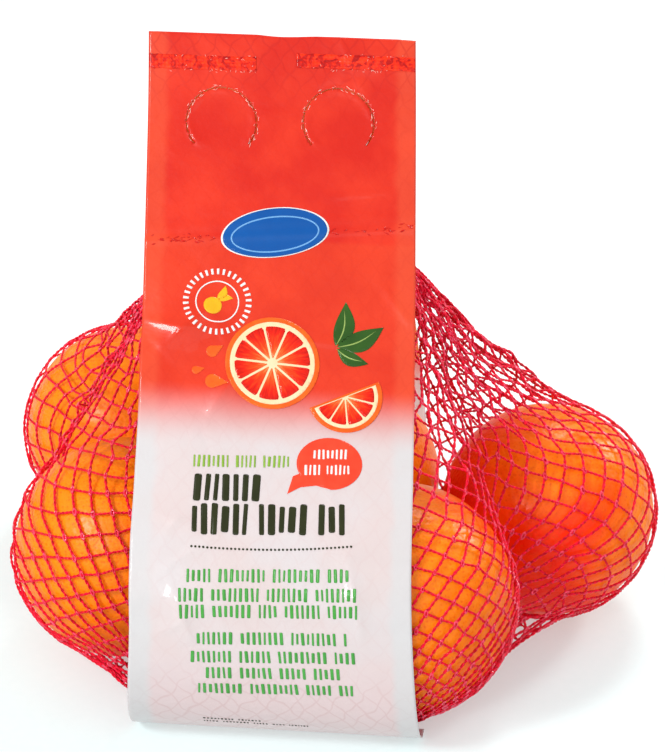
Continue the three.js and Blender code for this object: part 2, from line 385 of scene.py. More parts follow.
def pull_tight(knots, steps, obstacle=None):
    """Moves the inner knots to the middle of their neighbours, step by step, outside the fruit."""
    for _ in range(steps):
        before = knots[1:-1, 1:-1].copy()
        goal = knots[:-2, 1:-1] + knots[2:, 1:-1]
        goal = (goal + CROSS_PULL * (knots[1:-1, :-2] + knots[1:-1, 2:])) / (2 + 2 * CROSS_PULL)
        moved = before + STEP_SHARE * (goal - before)
        if obstacle:
            moved = keep_off_tent(moved, *obstacle)
        moved = keep_off_fruit(moved, before)
        moved[..., 2] = np.maximum(moved[..., 2], NET_FLOOR)
        knots[1:-1, 1:-1] = moved
    return knots


# %% Both net sides, pulled tight
half_front = FRONT_WIDTH / 2 - FREE_EDGE
half_back = BACK_WIDTH / 2 + FILM
net_sides = {}
for side_name, side in (("right", 1), ("left", -1)):
    top_gap = SEAM_SETBACK + NET_TOP[side_name]
    up_front = np.linspace(SEAM_SETBACK, weld_at - top_gap, ROWS)
    up_back = np.linspace(SEAM_SETBACK, back_profile.length - top_gap, ROWS)
    front_edge = on_front(up_front, side * half_front, FILM + GAP)
    back_edge = on_back(up_back, side * half_back, FILM + GAP)
    tight = pull_tight(balloon(front_edge, back_edge, side), STEPS)
    net_sides[side_name] = tight
    print(side_name, "net reaches x", round(float(tight[..., 0].min()), 1),
          "to", round(float(tight[..., 0].max()), 1), "mm")

# %% [markdown]
# ## Geometry Nodes helpers
# The peel and the threads follow rules, so node trees grow them from named sizes. A tree is built
# with its inputs, given to a modifier by the sockets' identifiers, and its result becomes a plain
# mesh, so that no modifier is left on the piece.

# %% Growing a piece from a node tree
def start_tree(name, **inputs):
    """A Geometry Nodes tree; each input is a number, a vector or a material's socket."""
    tree = bpy.data.node_groups.new(name, "GeometryNodeTree")
    tree.interface.new_socket("Geometry", in_out="INPUT", socket_type="NodeSocketGeometry")
    for label, value in inputs.items():
        kind = "Material" if value is None else "Vector" if isinstance(value, tuple) else "Float"
        socket = tree.interface.new_socket(
            label.replace("_", " "), in_out="INPUT", socket_type="NodeSocket" + kind)
        if value is not None:
            socket.default_value = value
    tree.interface.new_socket("Geometry", in_out="OUTPUT", socket_type="NodeSocketGeometry")
    return tree, add_node(tree, "NodeGroupInput").outputs


def end_tree(tree, geometry, material):
    """Closes a tree: real geometry instead of instances, smooth, with its material."""
    realized = add_node(tree, "GeometryNodeRealizeInstances", geometry)
    smooth = add_node(tree, "GeometryNodeSetShadeSmooth", realized)
    painted = add_node(tree, "GeometryNodeSetMaterial", smooth, {"Material": material})
    add_node(tree, "NodeGroupOutput", painted)


def grow(base, tree, **inputs):
    """Runs a tree on a base object and leaves its result as a plain mesh of the same name."""
    modifier = base.modifiers.new("grow", "NODES")
    modifier.node_group = tree
    sockets = {item.name: item.identifier for item in tree.interface.items_tree
               if item.in_out == "INPUT"}
    for label, value in inputs.items():
        modifier[sockets[label.replace("_", " ")]] = value
    evaluated = base.evaluated_get(bpy.context.evaluated_depsgraph_get())
    grown = bpy.data.meshes.new_from_object(evaluated)
    name = base.name
    bpy.data.objects.remove(base)
    piece = bpy.data.objects.new(name, grown)
    bpy.context.scene.collection.objects.link(piece)
    print(name, triangles(piece), "triangles")
    return piece


# %% [markdown]
# ## Orange peel
# The fruit are blood oranges, 71 to 76 mm across. A real peel is not a ball: it is a little lumpy,
# slightly flat at the stem, and pitted by oil glands about 1.3 mm apart. A tree moves the points
# of a fine sphere inwards for each of these, so the pits are real and the net never cuts the
# peel. It also stores how far each point is from the stem, and how red it is: partly the blood
# orange's own blush and partly painted shade, set towards each fruit's lower side.

# %% The orange tree
# the Blush inputs give a red that is partly the peel's own blush and partly painted shade
orange_tree, given = start_tree(
    "orange peel", Radius=0.037, Centre=(0.0, 0.0, 0.0), Stem=(0.0, 0.0, 1.0),
    Blush_side=(0.0, 0.0, 1.0), Blush=0.5, Seed=0.0, Lump_depth=0.7 * MM, Pore_spacing=1.35 * MM,
    Pore_depth=0.18 * MM, Stem_hollow=1.7 * MM, Stem_button=0.9 * MM, Peel=None)
tree = orange_tree
ball = add_node(tree, "GeometryNodeMeshIcoSphere", 1.0, 7)
direction = add_node(tree, "GeometryNodeInputPosition")
on_ball = add_node(tree, "ShaderNodeVectorMath", direction, given["Radius"], operation="SCALE")
shifted = add_node(tree, "ShaderNodeCombineXYZ", given["Seed"], given["Seed"])
noise_at = add_node(tree, "ShaderNodeVectorMath", direction, shifted, operation="ADD")

lumps = add_node(tree, "ShaderNodeTexNoise", {"Vector": noise_at, "Scale": 1.7, "Detail": 2.0})
lumps = add_node(tree, "ShaderNodeMath", lumps, given["Lump depth"], operation="MULTIPLY")
pore_scale = add_node(tree, "ShaderNodeMath", 1.0, given["Pore spacing"], operation="DIVIDE")
pores = add_node(tree, "ShaderNodeTexVoronoi", {"Vector": on_ball, "Scale": pore_scale})
pits = add_node(tree, "ShaderNodeMapRange", pores, 0.0, 0.62, given["Pore depth"], 0.0)

from_stem = add_node(tree, "ShaderNodeVectorMath", direction, given["Stem"], operation="DISTANCE")
radius_mm = add_node(tree, "ShaderNodeMath", given["Radius"], MM, operation="DIVIDE")
stem_mm = add_node(tree, "ShaderNodeMath", from_stem, radius_mm, operation="MULTIPLY")
hollow = add_node(
    tree, "ShaderNodeMapRange", stem_mm, 0.0, 14.0, given["Stem hollow"], 0.0,
    interpolation_type="SMOOTHSTEP")
button = add_node(
    tree, "ShaderNodeMapRange", stem_mm, 1.2, 2.2, given["Stem button"], 0.0,
    interpolation_type="SMOOTHSTEP")

inward = add_node(tree, "ShaderNodeMath", lumps, pits, operation="ADD")
inward = add_node(tree, "ShaderNodeMath", inward, hollow, operation="ADD")
inward = add_node(tree, "ShaderNodeMath", inward, button, operation="SUBTRACT")
reach = add_node(tree, "ShaderNodeMath", given["Radius"], inward, operation="SUBTRACT")
skin_at = add_node(
    tree, "ShaderNodeVectorMath", direction, reach, operation="SCALE")
skin_at = add_node(tree, "ShaderNodeVectorMath", skin_at, given["Centre"], operation="ADD")

# red towards the given side: partly real blush, partly painted shade on the fruit's lower side
side = add_node(tree, "ShaderNodeVectorMath", direction, given["Blush side"], operation="DOT_PRODUCT")
patches = add_node(tree, "ShaderNodeTexNoise", {"Vector": noise_at, "Scale": 1.3, "Detail": 3.0})
patchy = add_node(tree, "ShaderNodeMath", patches, 1.6, -0.8, operation="MULTIPLY_ADD")
patchy = add_node(tree, "ShaderNodeMath", side, 0.6, patchy, operation="MULTIPLY_ADD")
blush_and_shade = add_node(tree, "ShaderNodeMath", patchy, given["Blush"], operation="ADD")

peeled = ball
for label, value in (("blush_and_shade", blush_and_shade), ("stem", stem_mm)):
    peeled = add_node(tree, "GeometryNodeStoreNamedAttribute", peeled, {"Name": label, "Value": value})
peeled = add_node(tree, "GeometryNodeSetPosition", peeled, {"Position": skin_at})
end_tree(tree, peeled, given["Peel"])

# %% [markdown]
# ## Waxed peel
# Supermarket oranges are washed and waxed, which leaves a soft gloss on top of a matt, oily skin.
# A thin coat over a rougher base gives that double look, and light that enters the peel comes out
# a little further on, which keeps the shadows warm.

# %% The peel's material
waxed_peel, tree, surface = start_material(
    "waxed orange peel", Roughness=0.45, Coat_Weight=0.2, Coat_Roughness=0.22, IOR=1.4,
    Specular_IOR_Level=0.18, Subsurface_Weight=0.15, Subsurface_Radius=(1.0, 0.3, 0.05),
    Subsurface_Scale=0.004)
position = add_node(tree, "ShaderNodeTexCoord").outputs["Object"]
# the stored red share is partly the peel's own blush and partly painted shade
blush_and_shade = add_node(tree, "ShaderNodeAttribute", attribute_name="blush_and_shade").outputs["Fac"]
mottle = add_node(tree, "ShaderNodeTexNoise", {"Vector": position, "Scale": 160, "Detail": 3.0})
mottle = add_node(tree, "ShaderNodeMath", mottle, 0.3, -0.15, operation="MULTIPLY_ADD")
shade = add_node(tree, "ShaderNodeMath", blush_and_shade, mottle, operation="ADD")
tint = add_node(tree, "ShaderNodeValToRGB", shade, stops=[
    (0.0, "#FF8604"), (0.45, "#FF6400"), (0.8, "#FF3800"), (1.0, "#FC2200")])
glands = add_node(tree, "ShaderNodeTexVoronoi", {"Vector": position, "Scale": 1 / (1.35 * MM)})
dots = add_node(tree, "ShaderNodeMapRange", glands, 0.12, 0.4, 0.45, 0.0)
speckled = add_node(tree, "ShaderNodeMix", dots, tint, "#E84A00", data_type="RGBA")
stem = add_node(tree, "ShaderNodeAttribute", attribute_name="stem").outputs["Fac"]
calyx = add_node(tree, "ShaderNodeMapRange", stem, 1.8, 2.6, 1.0, 0.0)
skin = add_node(tree, "ShaderNodeMix", calyx, speckled, "#7C7A3A", data_type="RGBA")
tree.links.new(skin.outputs[2], surface.inputs["Base Color"])
fine = add_node(tree, "ShaderNodeBump", {
    "Strength": 0.7, "Distance": 0.25 * MM, "Height": glands.outputs["Distance"]})
tree.links.new(fine.outputs[0], surface.inputs["Normal"])

# %% The five oranges
# name: stem direction, side that is painted redder, and how much; the red is partly blush and partly
# painted shade
ORANGE_LOOKS = {
    "back_right": ((0.2, 0.85, 0.35), (-0.75, -0.55, -0.35), 0.42),
    "front_right": ((-0.5, 0.3, -0.8), (0.6, 0.6, -0.3), 0.08),
    "back_left": ((-0.6, 0.75, 0.2), (0.6, 0.5, -0.3), -0.02),
    "front_left": ((0.4, 0.3, -0.85), (0.6, 0.1, -0.7), 0.14),
    "middle": ((0.35, 0.6, 0.7), (-0.5, 0.4, -0.5), 0.02),
}
oranges = []
for number, (name, x, y, radius) in enumerate(ORANGES):
    stem, side, amount = ORANGE_LOOKS[name]
    base = mesh_object("orange_" + name, [(0, 0, 0)], [])
    oranges.append(grow(
        base, orange_tree, Radius=radius * MM, Centre=(x * MM, y * MM, (radius + GROUND_GAP) * MM),
        Stem=tuple(Vector(stem).normalized()), Blush_side=tuple(Vector(side).normalized()),
        Blush=amount, Seed=3.7 * number + 1, Peel=waxed_peel))

# %% [markdown]
# ## Slack in the net
# Tight over the fruit, the net is slack everywhere else: it bunches, twists and lies on the
# ground. Its fabric is also turned on its bias at the right, where the bag was pulled, so
# the chains run slantwise there. Knots are set out on a slanted lattice over the pulled surface,
# with a wander that grows with their distance from the peel.

# %% How the net lies
# the drifts say how many chains and rows the fabric moves for each row and chain, and gather how
# much closer the threads lie towards the back and the top
NET_LOOKS = {
    "right": {"chains": 41, "rows": 37, "chain_drift": 0.60, "row_drift": -0.55, "gather": 0.97},
    "left": {"chains": 32, "rows": 29, "chain_drift": 0.15, "row_drift": -0.13, "gather": 1.2},
}
# how much of a step's depth counts when the threads are spread, so that folds seen edge on don't bunch
DEPTH_SHARE = {"right": 0.85, "left": 0.25}
EVEN_ACROSS = 0.92
EVEN_ALONG = 0.8
EVEN_LINES = 61
FRUIT_WANDER = 0.35
SLACK_WANDER = 1.9
SLACK_SMALL_WANDER = 0.35
SLACK_FROM = 14  # the net is fully slack this far from the peel
WANDER_WAVE = 3.6  # knots
PEEL_CLEARANCE = 0.95
GROUND_CLEARANCE = 0.6


def wander(rows, columns, size, seed):
    """Smooth random vectors over a grid; size is how many knots one wave spans."""
    random = np.random.default_rng(seed)
    coarse = random.normal(0, 1, (int(rows / size) + 3, int(columns / size) + 3, 3))
    r, c = np.meshgrid(np.arange(rows) / size, np.arange(columns) / size, indexing="ij")
    return between(coarse, r, c)


def off_fruit(points):
    """Distance to the nearest peel, in millimetres."""
    return np.min([np.linalg.norm(points - c, axis=-1) - r for c, r in FRUIT], axis=0)


# %% The fold on the ground
SLACK_REACH = 31.0  # from the line between the two right-hand oranges out to the fold's edge
SLACK_HEIGHT = 26.0
SLACK_ENDS = (-60, 40)  # degrees that the fold turns round each orange
SLACK_END_SIDES = 5
SLACK_STEPS = 260
# share of the reach, and height, of the points of the fold's side view
SLACK_SIDE = [(1, 0), (1, 2), (0.62, 12), (0.3, SLACK_HEIGHT)]


def tent_planes():
    """The sides of the slack fold on the ground, as outward normals and distances."""
    (_, x0, y0, _), (_, x1, y1, _) = ORANGES[:2]
    along = unit(np.array([x1 - x0, y1 - y0, 0.0]))
    outwards = np.array([-along[1], along[0], 0.0])
    corners = []
    for (x, y), end in zip(((x0, y0), (x1, y1)), SLACK_ENDS):
        for z in (0, SLACK_HEIGHT):
            corners.append(np.array([x, y, z]))
        for angle in np.radians(end) * np.linspace(0, 1, SLACK_END_SIDES):
            for reach, z in SLACK_SIDE:
                turned = outwards * math.cos(angle) + along * math.sin(angle)
                corners.append(np.array([x, y, z]) + turned * reach * SLACK_REACH)
    shape = bmesh.new()
    for corner in corners:
        shape.verts.new(corner)
    bmesh.ops.convex_hull(shape, input=shape.verts)
    shape.normal_update()
    planes = [(f.normal[:], f.normal.dot(f.verts[0].co)) for f in shape.faces if f.normal.z > -0.2]
    shape.free()
    return np.array([n for n, _ in planes]), np.array([d for _, d in planes])


def keep_off_tent(knots, normals, distances):
    """Pushes knots out of the fold through its nearest side."""
    depth = knots @ normals.T - distances
    nearest = depth.argmax(-1)
    deep = np.take_along_axis(depth, nearest[..., None], -1)
    inside = (deep < 0) & (knots[..., 2:] > GROUND_CLEARANCE)
    return np.where(inside, knots - deep * normals[nearest], knots)


net_sides["right"] = pull_tight(net_sides["right"], steps=SLACK_STEPS, obstacle=tent_planes())
print("right net now reaches x", round(float(net_sides["right"][..., 0].max()), 1), "mm")

# %% Spreading the threads


def spread_evenly(knots, depth_share):
    """Spreads the same net surface over even cells, first across the chains and then along them."""
    scale = np.array([1.0, depth_share, 1.0])
    for axis, share in ((1, EVEN_ACROSS), (0, EVEN_ALONG)):
        lines = np.moveaxis(knots, axis, 0)
        steps = np.linalg.norm(np.diff(lines, axis=0) * scale, axis=-1)
        reach = np.vstack([np.zeros(steps.shape[1]), np.cumsum(steps, axis=0)])
        places = np.arange(len(lines))
        spread = np.zeros((EVEN_LINES,) + lines.shape[1:])
        for k in range(lines.shape[1]):
            even = share * reach[:, k] / reach[-1, k] + (1 - share) * places / places[-1]
            index = np.interp(np.linspace(0, 1, EVEN_LINES), even, places)
            for c in range(3):
                spread[:, k, c] = np.interp(index, places, lines[:, k, c])
        knots = np.moveaxis(spread, 0, axis)
    return knots


def lattice(chains, rows, chain_drift, row_drift, gather):
    """Shares along and across a net side for each knot of a slanted lattice, and which are on it."""
    b, a = np.meshgrid(np.arange(-rows, 2 * rows), np.arange(-chains, 2 * chains), indexing="ij")
    across = (a + chain_drift * (b - rows / 2)) / (chains - 1)
    along = (b + row_drift * (a - chains / 2)) / (rows - 1)
    on_net = (np.abs(across - 0.5) < 0.5 + 0.9 / chains) & (np.abs(along - 0.5) < 0.5 + 0.9 / rows)
    along, across = (1 - (1 - np.clip(share, 0, 1)) ** gather for share in (along, across))
    return along, across, on_net


# %% Keeping the net between the films
BEHIND_FRONT = 2.3
BEFORE_BACK = 1.6
BESIDE_FILM = 1  # knots this far past a film's edge are held too
BACK_RISES = 36  # above this height the back film rises behind the fruit


def behind_films(knots):
    """Keeps the knots that pass near a film on its inner side."""
    x = knots[..., 0] - centre_x(knots[..., 2])
    z = knots[..., 2]
    front_y = np.interp(z, front_profile.path[:, 1], front_profile.path[:, 0]) + BEHIND_FRONT
    over = np.abs(x) < FRONT_WIDTH / 2 + BESIDE_FILM
    knots[..., 1] = np.where(over, np.maximum(knots[..., 1], front_y), knots[..., 1])
    rising = back_profile.path[np.argmax(back_profile.path[:, 1] > BACK_RISES):]
    turn = BACK_TURN * x * (1 - smoothstep(z, *TURN_FADES))
    back_y = np.interp(z, rising[:, 1], rising[:, 0]) + turn - BEFORE_BACK
    over = (np.abs(x) < BACK_WIDTH / 2 + BESIDE_FILM) & (z > BACK_RISES) & (knots[..., 1] > 0)
    knots[..., 1] = np.where(over, np.minimum(knots[..., 1], back_y), knots[..., 1])
    return knots


# %% The knots that the threads join
net_knots = {}
for number, (side_name, surface_points) in enumerate(net_sides.items()):
    surface_points = spread_evenly(surface_points, DEPTH_SHARE[side_name])
    up_way = unit(np.gradient(surface_points, axis=0))
    out_way = unit(np.cross(np.gradient(surface_points, axis=1), up_way))
    middle = surface_points.reshape(-1, 3).mean(0)
    out_way *= np.sign(((surface_points - middle) * out_way).sum(-1, keepdims=True))
    along, across, on_net = lattice(**NET_LOOKS[side_name])
    j, i = along * (EVEN_LINES - 1), across * (EVEN_LINES - 1)
    knots, up, out = (between(grid, j, i) for grid in (surface_points, up_way, out_way))
    slack = smoothstep(off_fruit(knots), NET_GAP + 0.2, SLACK_FROM)
    held = smoothstep(0.5 - np.abs(across - 0.5), 0, 0.08) * smoothstep(0.5 - np.abs(along - 0.5), 0, 0.06)
    loose = wander(*along.shape, WANDER_WAVE, SEED + number)
    loose = loose - 0.8 * (loose * out).sum(-1, keepdims=True) * out
    small = wander(*along.shape, 1, SEED + 20 + number)
    amount = SLACK_WANDER * slack[..., None] * loose
    amount = amount + (FRUIT_WANDER + SLACK_SMALL_WANDER * slack[..., None]) * small
    knots = behind_films(keep_off_fruit(knots + held[..., None] * amount, gap=PEEL_CLEARANCE))
    knots[..., 2] = np.maximum(knots[..., 2], GROUND_CLEARANCE)
    net_knots[side_name] = (knots, unit(up), unit(out), on_net)
    print(side_name, "net:", int(on_net.sum()), "knots")

# %% [markdown]
# ## Knitted threads
# Such a net is knitted from one flat filament of polyethylene. Chains of stitches run up and
# down, and between them the filament crosses from chain to chain, with a small stitch where they
# meet. Each chain is two filaments twisted together, each crossing is a pair that opens a little
# between its stitches, and the stitches are small loops set on the knots.

# %% Tree for the threads
CHAIN = {"Filament": 0.30 * MM, "Twist": 0.28 * MM, "Pitch": 4.2 * MM, "Step": 0.92 * MM}
CROSSING = {"Filament": 0.27 * MM, "Twist": 0.26 * MM, "Pitch": 3.0 * MM, "Step": 0.75 * MM}
TUBE_SIDES = 4

chain_tree, given = start_tree("twisted thread", **CHAIN, Thread=None)
tree = chain_tree
path = add_node(tree, "GeometryNodeMeshToCurve", given["Geometry"])
path = add_node(tree, "GeometryNodeCurveSplineType", path, spline_type="CATMULL_ROM")
path = add_node(tree, "GeometryNodeResampleCurve", path, {"Length": given["Step"]}, mode="LENGTH")
tangent = add_node(tree, "GeometryNodeInputTangent")
normal = add_node(tree, "GeometryNodeInputNormal")
binormal = add_node(tree, "ShaderNodeVectorMath", tangent, normal, operation="CROSS_PRODUCT")
run = add_node(tree, "GeometryNodeSplineParameter").outputs["Length"]
turns = add_node(tree, "ShaderNodeMath", run, given["Pitch"], operation="DIVIDE")
wire = add_node(tree, "GeometryNodeCurvePrimitiveCircle", {
    "Resolution": TUBE_SIDES, "Radius": given["Filament"]})
both = add_node(tree, "GeometryNodeJoinGeometry")
for half_turn in (0.0, math.pi):
    angle = add_node(tree, "ShaderNodeMath", turns, 2 * math.pi, half_turn, operation="MULTIPLY_ADD")
    way = None
    for operation, axis in (("COSINE", normal), ("SINE", binormal)):
        share = add_node(tree, "ShaderNodeMath", angle, operation=operation)
        part = add_node(tree, "ShaderNodeVectorMath", axis, share, operation="SCALE")
        way = add_node(tree, "ShaderNodeVectorMath", way, part, operation="ADD") if way else part
    offset = add_node(tree, "ShaderNodeVectorMath", way, given["Twist"], operation="SCALE")
    wound = add_node(tree, "GeometryNodeSetPosition", path, {"Offset": offset})
    tube = add_node(tree, "GeometryNodeCurveToMesh", wound, wire, {"Fill Caps": True})
    tree.links.new(tube.outputs[0], both.inputs[0])
end_tree(tree, both, given["Thread"])

# %% Tree for the stitches
stitch_tree, given = start_tree("stitches", Loop=0.62 * MM, Wire=0.31 * MM, Thread=None)
tree = stitch_tree
eye = add_node(tree, "GeometryNodeCurvePrimitiveCircle", {"Resolution": 7, "Radius": given["Loop"]})
wire = add_node(tree, "GeometryNodeCurvePrimitiveCircle", {"Resolution": 3, "Radius": given["Wire"]})
loop = add_node(tree, "GeometryNodeCurveToMesh", eye, wire)
loop = add_node(tree, "GeometryNodeTransform", loop, {"Scale": (0.75, 1.5, 1.1)})
out, up = (add_node(tree, "GeometryNodeInputNamedAttribute", name, data_type="FLOAT_VECTOR")
           for name in ("out", "up"))
flat = add_node(tree, "FunctionNodeAlignRotationToVector", {"Vector": out}, axis="Z")
aimed = add_node(
    tree, "FunctionNodeAlignRotationToVector", {"Rotation": flat, "Vector": up}, axis="Y",
    pivot_axis="Z")
size = add_node(tree, "FunctionNodeRandomValue", 0.75, 1.25, {"Seed": SEED}, data_type="FLOAT")
lift = add_node(tree, "ShaderNodeVectorMath", out, 0.25 * MM, operation="SCALE")
stand = add_node(tree, "GeometryNodeSetPosition", given["Geometry"], {"Offset": lift})
placed = add_node(tree, "GeometryNodeInstanceOnPoints", stand, {
    "Instance": loop, "Rotation": aimed, "Scale": size})
end_tree(tree, placed, given["Thread"])

# %% [markdown]
# ## Polyethylene filament
# Raspberry red polyethylene lets some light through, so it glows pink against white and goes
# deep red over the fruit. Its drawn surface is glossy, which puts small glints on every stitch, and
# the stitches are also painted a lighter pink, as a painted highlight.

# %% The thread's material
def thread_plastic(name, dark, bright, **shader):
    """Polyethylene with fine streaks along and across its drawn filaments."""
    material, tree, surface = start_material(
        name, IOR=1.5, Subsurface_Weight=0.2, Subsurface_Radius=(1.0, 0.1, 0.25),
        Subsurface_Scale=0.0012, Coat_Roughness=0.1, **shader)
    position = add_node(tree, "ShaderNodeTexCoord").outputs["Object"]
    streaks = add_node(tree, "ShaderNodeTexNoise", {"Vector": position, "Scale": 1100, "Detail": 2.0})
    share = add_node(tree, "ShaderNodeMapRange", streaks, 0.35, 0.65)
    tint = add_node(tree, "ShaderNodeMix", share, dark, bright, data_type="RGBA")
    tree.links.new(tint.outputs[2], surface.inputs["Base Color"])
    ridges = add_node(tree, "ShaderNodeBump", {
        "Strength": 0.4, "Distance": 0.1 * MM, "Height": streaks.outputs[0]})
    tree.links.new(ridges.outputs[0], surface.inputs["Normal"])
    return material


filament_plastic = thread_plastic(
    "raspberry polyethylene filament", "#BC001C", "#FC0438", Specular_IOR_Level=0.2, Roughness=0.4,
    Coat_Weight=0.03)
# the stitches' lighter pink tones are a painted highlight on the same filament
glint_painted_stitch_plastic = thread_plastic(
    "stitched polyethylene loops", "#DC0834", "#FF466C", Specular_IOR_Level=0.4, Roughness=0.3,
    Coat_Weight=0.4)

# %% Threads and stitches of both sides


def store(piece, name, values):
    """A named vector on each point of a mesh."""
    data = piece.data.attributes.new(name, "FLOAT_VECTOR", "POINT").data
    data.foreach_set("vector", np.asarray(values, np.float32).ravel())


net_pieces = []
for side_name, (knots, up, out, on_net) in net_knots.items():
    index = np.where(on_net, np.cumsum(on_net).reshape(on_net.shape) - 1, -1)
    points = knots[on_net]
    for name, material, tree, sizes, starts, ends in (
        ("net_chains_", filament_plastic, chain_tree, CHAIN, index[:-1], index[1:]),
        ("net_crossings_", filament_plastic, chain_tree, CROSSING, index[:, :-1], index[:, 1:]),
        ("net_stitches_", glint_painted_stitch_plastic, stitch_tree, {}, index[:0], index[:0]),
    ):
        linked = (starts >= 0) & (ends >= 0)
        edges = np.stack([starts[linked], ends[linked]], -1).tolist()
        base = mesh_object(name + side_name, points, [], edges=edges, smooth=False)
        store(base, "up", up[on_net])
        store(base, "out", out[on_net])
        net_pieces.append(grow(base, tree, **sizes, Thread=material))

# %% [markdown]
# ## Film surfaces
# Each film is a flat tube wall of polypropylene, some hundredths of a millimetre thick, here
# drawn 0.12 mm thick. It follows its side view, and a height in millimetres says how far each
# point stands out of it: long waves, small cockles, sharp creases and a fluttering edge.

# %% Waves and creases
SHEET = 0.12  # thickness
CELL = 0.9  # of the film's grid
NOISE_CELLS = 64


def ripple(x, y, size, seed):
    """Smooth noise from -1 to 1 on a plane; size is how far apart its bumps are."""
    table = np.random.default_rng(seed).uniform(-1, 1, (NOISE_CELLS, NOISE_CELLS))
    x, y = np.broadcast_arrays(np.asarray(x, float) / size, np.asarray(y, float) / size)
    i, j = np.floor(x).astype(int), np.floor(y).astype(int)
    fx, fy = smoothstep(x - i, 0, 1), smoothstep(y - j, 0, 1)
    left, right, lower, upper = (k % NOISE_CELLS for k in (i, i + 1, j, j + 1))
    low = table[left, lower] * (1 - fx) + table[right, lower] * fx
    high = table[left, upper] * (1 - fx) + table[right, upper] * fx
    return low * (1 - fy) + high * fy


def crease(x, s, x0, s0, x1, s1, height, width):
    """A ridge with a sharp top from one point to another."""
    dx, ds = x1 - x0, s1 - s0
    share = np.clip(((x - x0) * dx + (s - s0) * ds) / (dx * dx + ds * ds), 0, 1)
    away = np.hypot(x - x0 - share * dx, s - s0 - share * ds)
    fade = np.sin(math.pi * np.clip(share, 0.02, 0.98)) ** 0.5
    return height * fade * np.exp(-away / width)


def creases(x, s, seed, count, top, bottom, half):
    """Random creases that start near the edges and run inwards."""
    random = np.random.default_rng(seed)
    total = np.zeros(np.broadcast(x, s).shape)
    for _ in range(count):
        side = random.choice((-1, 1))
        x0, s0 = side * half * random.uniform(0.55, 1.0), random.uniform(top, bottom)
        length, slope = random.uniform(10, 34), random.uniform(-1.2, 1.2)
        x1, s1 = x0 - side * length * math.cos(slope), s0 + length * math.sin(slope)
        height, width = random.uniform(-0.5, 0.7), random.uniform(0.8, 2.2)
        total = total + crease(x, s, x0, s0, x1, s1, height, width)
    return total


# %% Creases, weld and slits by place
# the creases that catch the light: where from and to, height and width
GLARE_CREASES = [
    (-39, 108, -21, 90, 2.2, 6.0), (-44, 97, -24, 101, 1.1, 2.6), (-22, 129, -13, 114, 1.6, 4.0),
    (33, 82, 44, 97, 0.8, 2.0),
    (-30, 186, -24, 204, 1.2, 3.0), (24, 170, 29, 200, 1.0, 3.0), (-20, 152, -17, 168, 0.9, 2.0),
]
SLIT_CREASE = (-8, 24.3, 8, 23.6, -0.4, 0.5)  # the shallow dent that joins the slits
WELD_S = 67.0  # the weld's distance below the top edge
WELD_TILT = 0.09  # the weld climbs to the right
SEAL_TOP = 5.5
SEAL_BOTTOM = 10.5
SLIT_RADIUS = 11.6
SLIT_SWEEP = 262  # degrees
SLIT_START = 270 - SLIT_SWEEP / 2
SLITS = [(-19.7, 29.7), (18.8, 28.7)]  # the centres of the two finger slits


def near_slits(x, s, inside):
    """1 along a slit, fading away from it; inside moves the ridge towards the slit's centre."""
    total = 0.0
    for x0, s0 in SLITS:
        radius = np.hypot(x - x0, s - s0)
        above = smoothstep(-(s - s0), -9.5, -6.5)
        total = total + above * np.exp(-((radius - SLIT_RADIUS + inside) / 0.9) ** 2)
    return total


def outwards(height):
    """Leaves bulges as they are and turns dents shallow, because the net lies close behind."""
    return 0.5 * (height + np.sqrt(height ** 2 + 0.36)) - 0.35


# %% Heights of both films
# each ripple's last two numbers are the distance between its bumps, in millimetres, and its seed


def front_height(x, s):
    """How far the front film stands out, at x from its middle and s below its top edge."""
    body = smoothstep(s, 62, 100)
    edge = np.clip(np.abs(x) / (FRONT_WIDTH / 2), 0, 1)
    waves = 0.3 * ripple(x, s, 21, 3) + body * 0.6 * ripple(x, 0.7 * s, 33, 4)
    cockles = 0.10 * ripple(x + 0.4 * s, s, 7, 5) + 0.05 * ripple(x, s, 3.2, 6)
    flutter = edge ** 4 * (1.0 * ripple(0 * s, s, 19, 7) + 0.5 * ripple(0 * s, s, 9, 8))
    flutter = flutter * (0.4 + 0.6 * body) * np.sign(x + 1e-6)
    line = s - WELD_S + WELD_TILT * x
    weld = 0.4 * np.exp(-(line / 1.2) ** 2) + 0.25 * np.exp(-((line + 4) / 2) ** 2)
    fold = creases(x, s, 11, 30, 70, 235, FRONT_WIDTH / 2) * body
    fold = fold + creases(x, s, 12, 10, 14, 66, FRONT_WIDTH / 2) * 0.6
    for place in [SLIT_CREASE] + GLARE_CREASES:
        fold = fold + crease(x, s, *place)
    lips = near_slits(x, s, 0.9) * (0.35 + 0.35 * ripple(x, s, 3.5, 9)) - 0.2 * near_slits(x, s, -0.8)
    at_bottom = 1 - smoothstep(s, 235, 255)
    return outwards(waves + cockles + flutter + weld + fold + lips) * (0.2 + 0.8 * at_bottom)


def back_height(x, s):
    """How far the back film stands out; it is plainer, with waves and a fluttering edge."""
    edge = np.clip(np.abs(x) / (BACK_WIDTH / 2), 0, 1)
    waves = 0.35 * ripple(x, s, 24, 23) + 0.12 * ripple(x + 0.3 * s, s, 8, 24)
    return outwards(waves + edge ** 5 * 0.5 * ripple(0 * s, s, 15, 25))


# %% A film as a grid
FILM_FLOOR = 0.02
UV_WIDTH = 100.0  # the film's UV map spans this much across and down, in millimetres
UV_LENGTH = 400.0


def store_film_uv(piece, x, s):
    """Gives a mesh its points' film coordinates as a UV map."""
    spots = np.stack([x / UV_WIDTH + 0.5, 1 - s / UV_LENGTH], -1)
    corners = np.zeros(len(piece.data.loops), int)
    piece.data.loops.foreach_get("vertex_index", corners)
    layer = piece.data.uv_layers.new(name="film").data
    layer.foreach_set("uv", spots[corners].astype(np.float32).ravel())


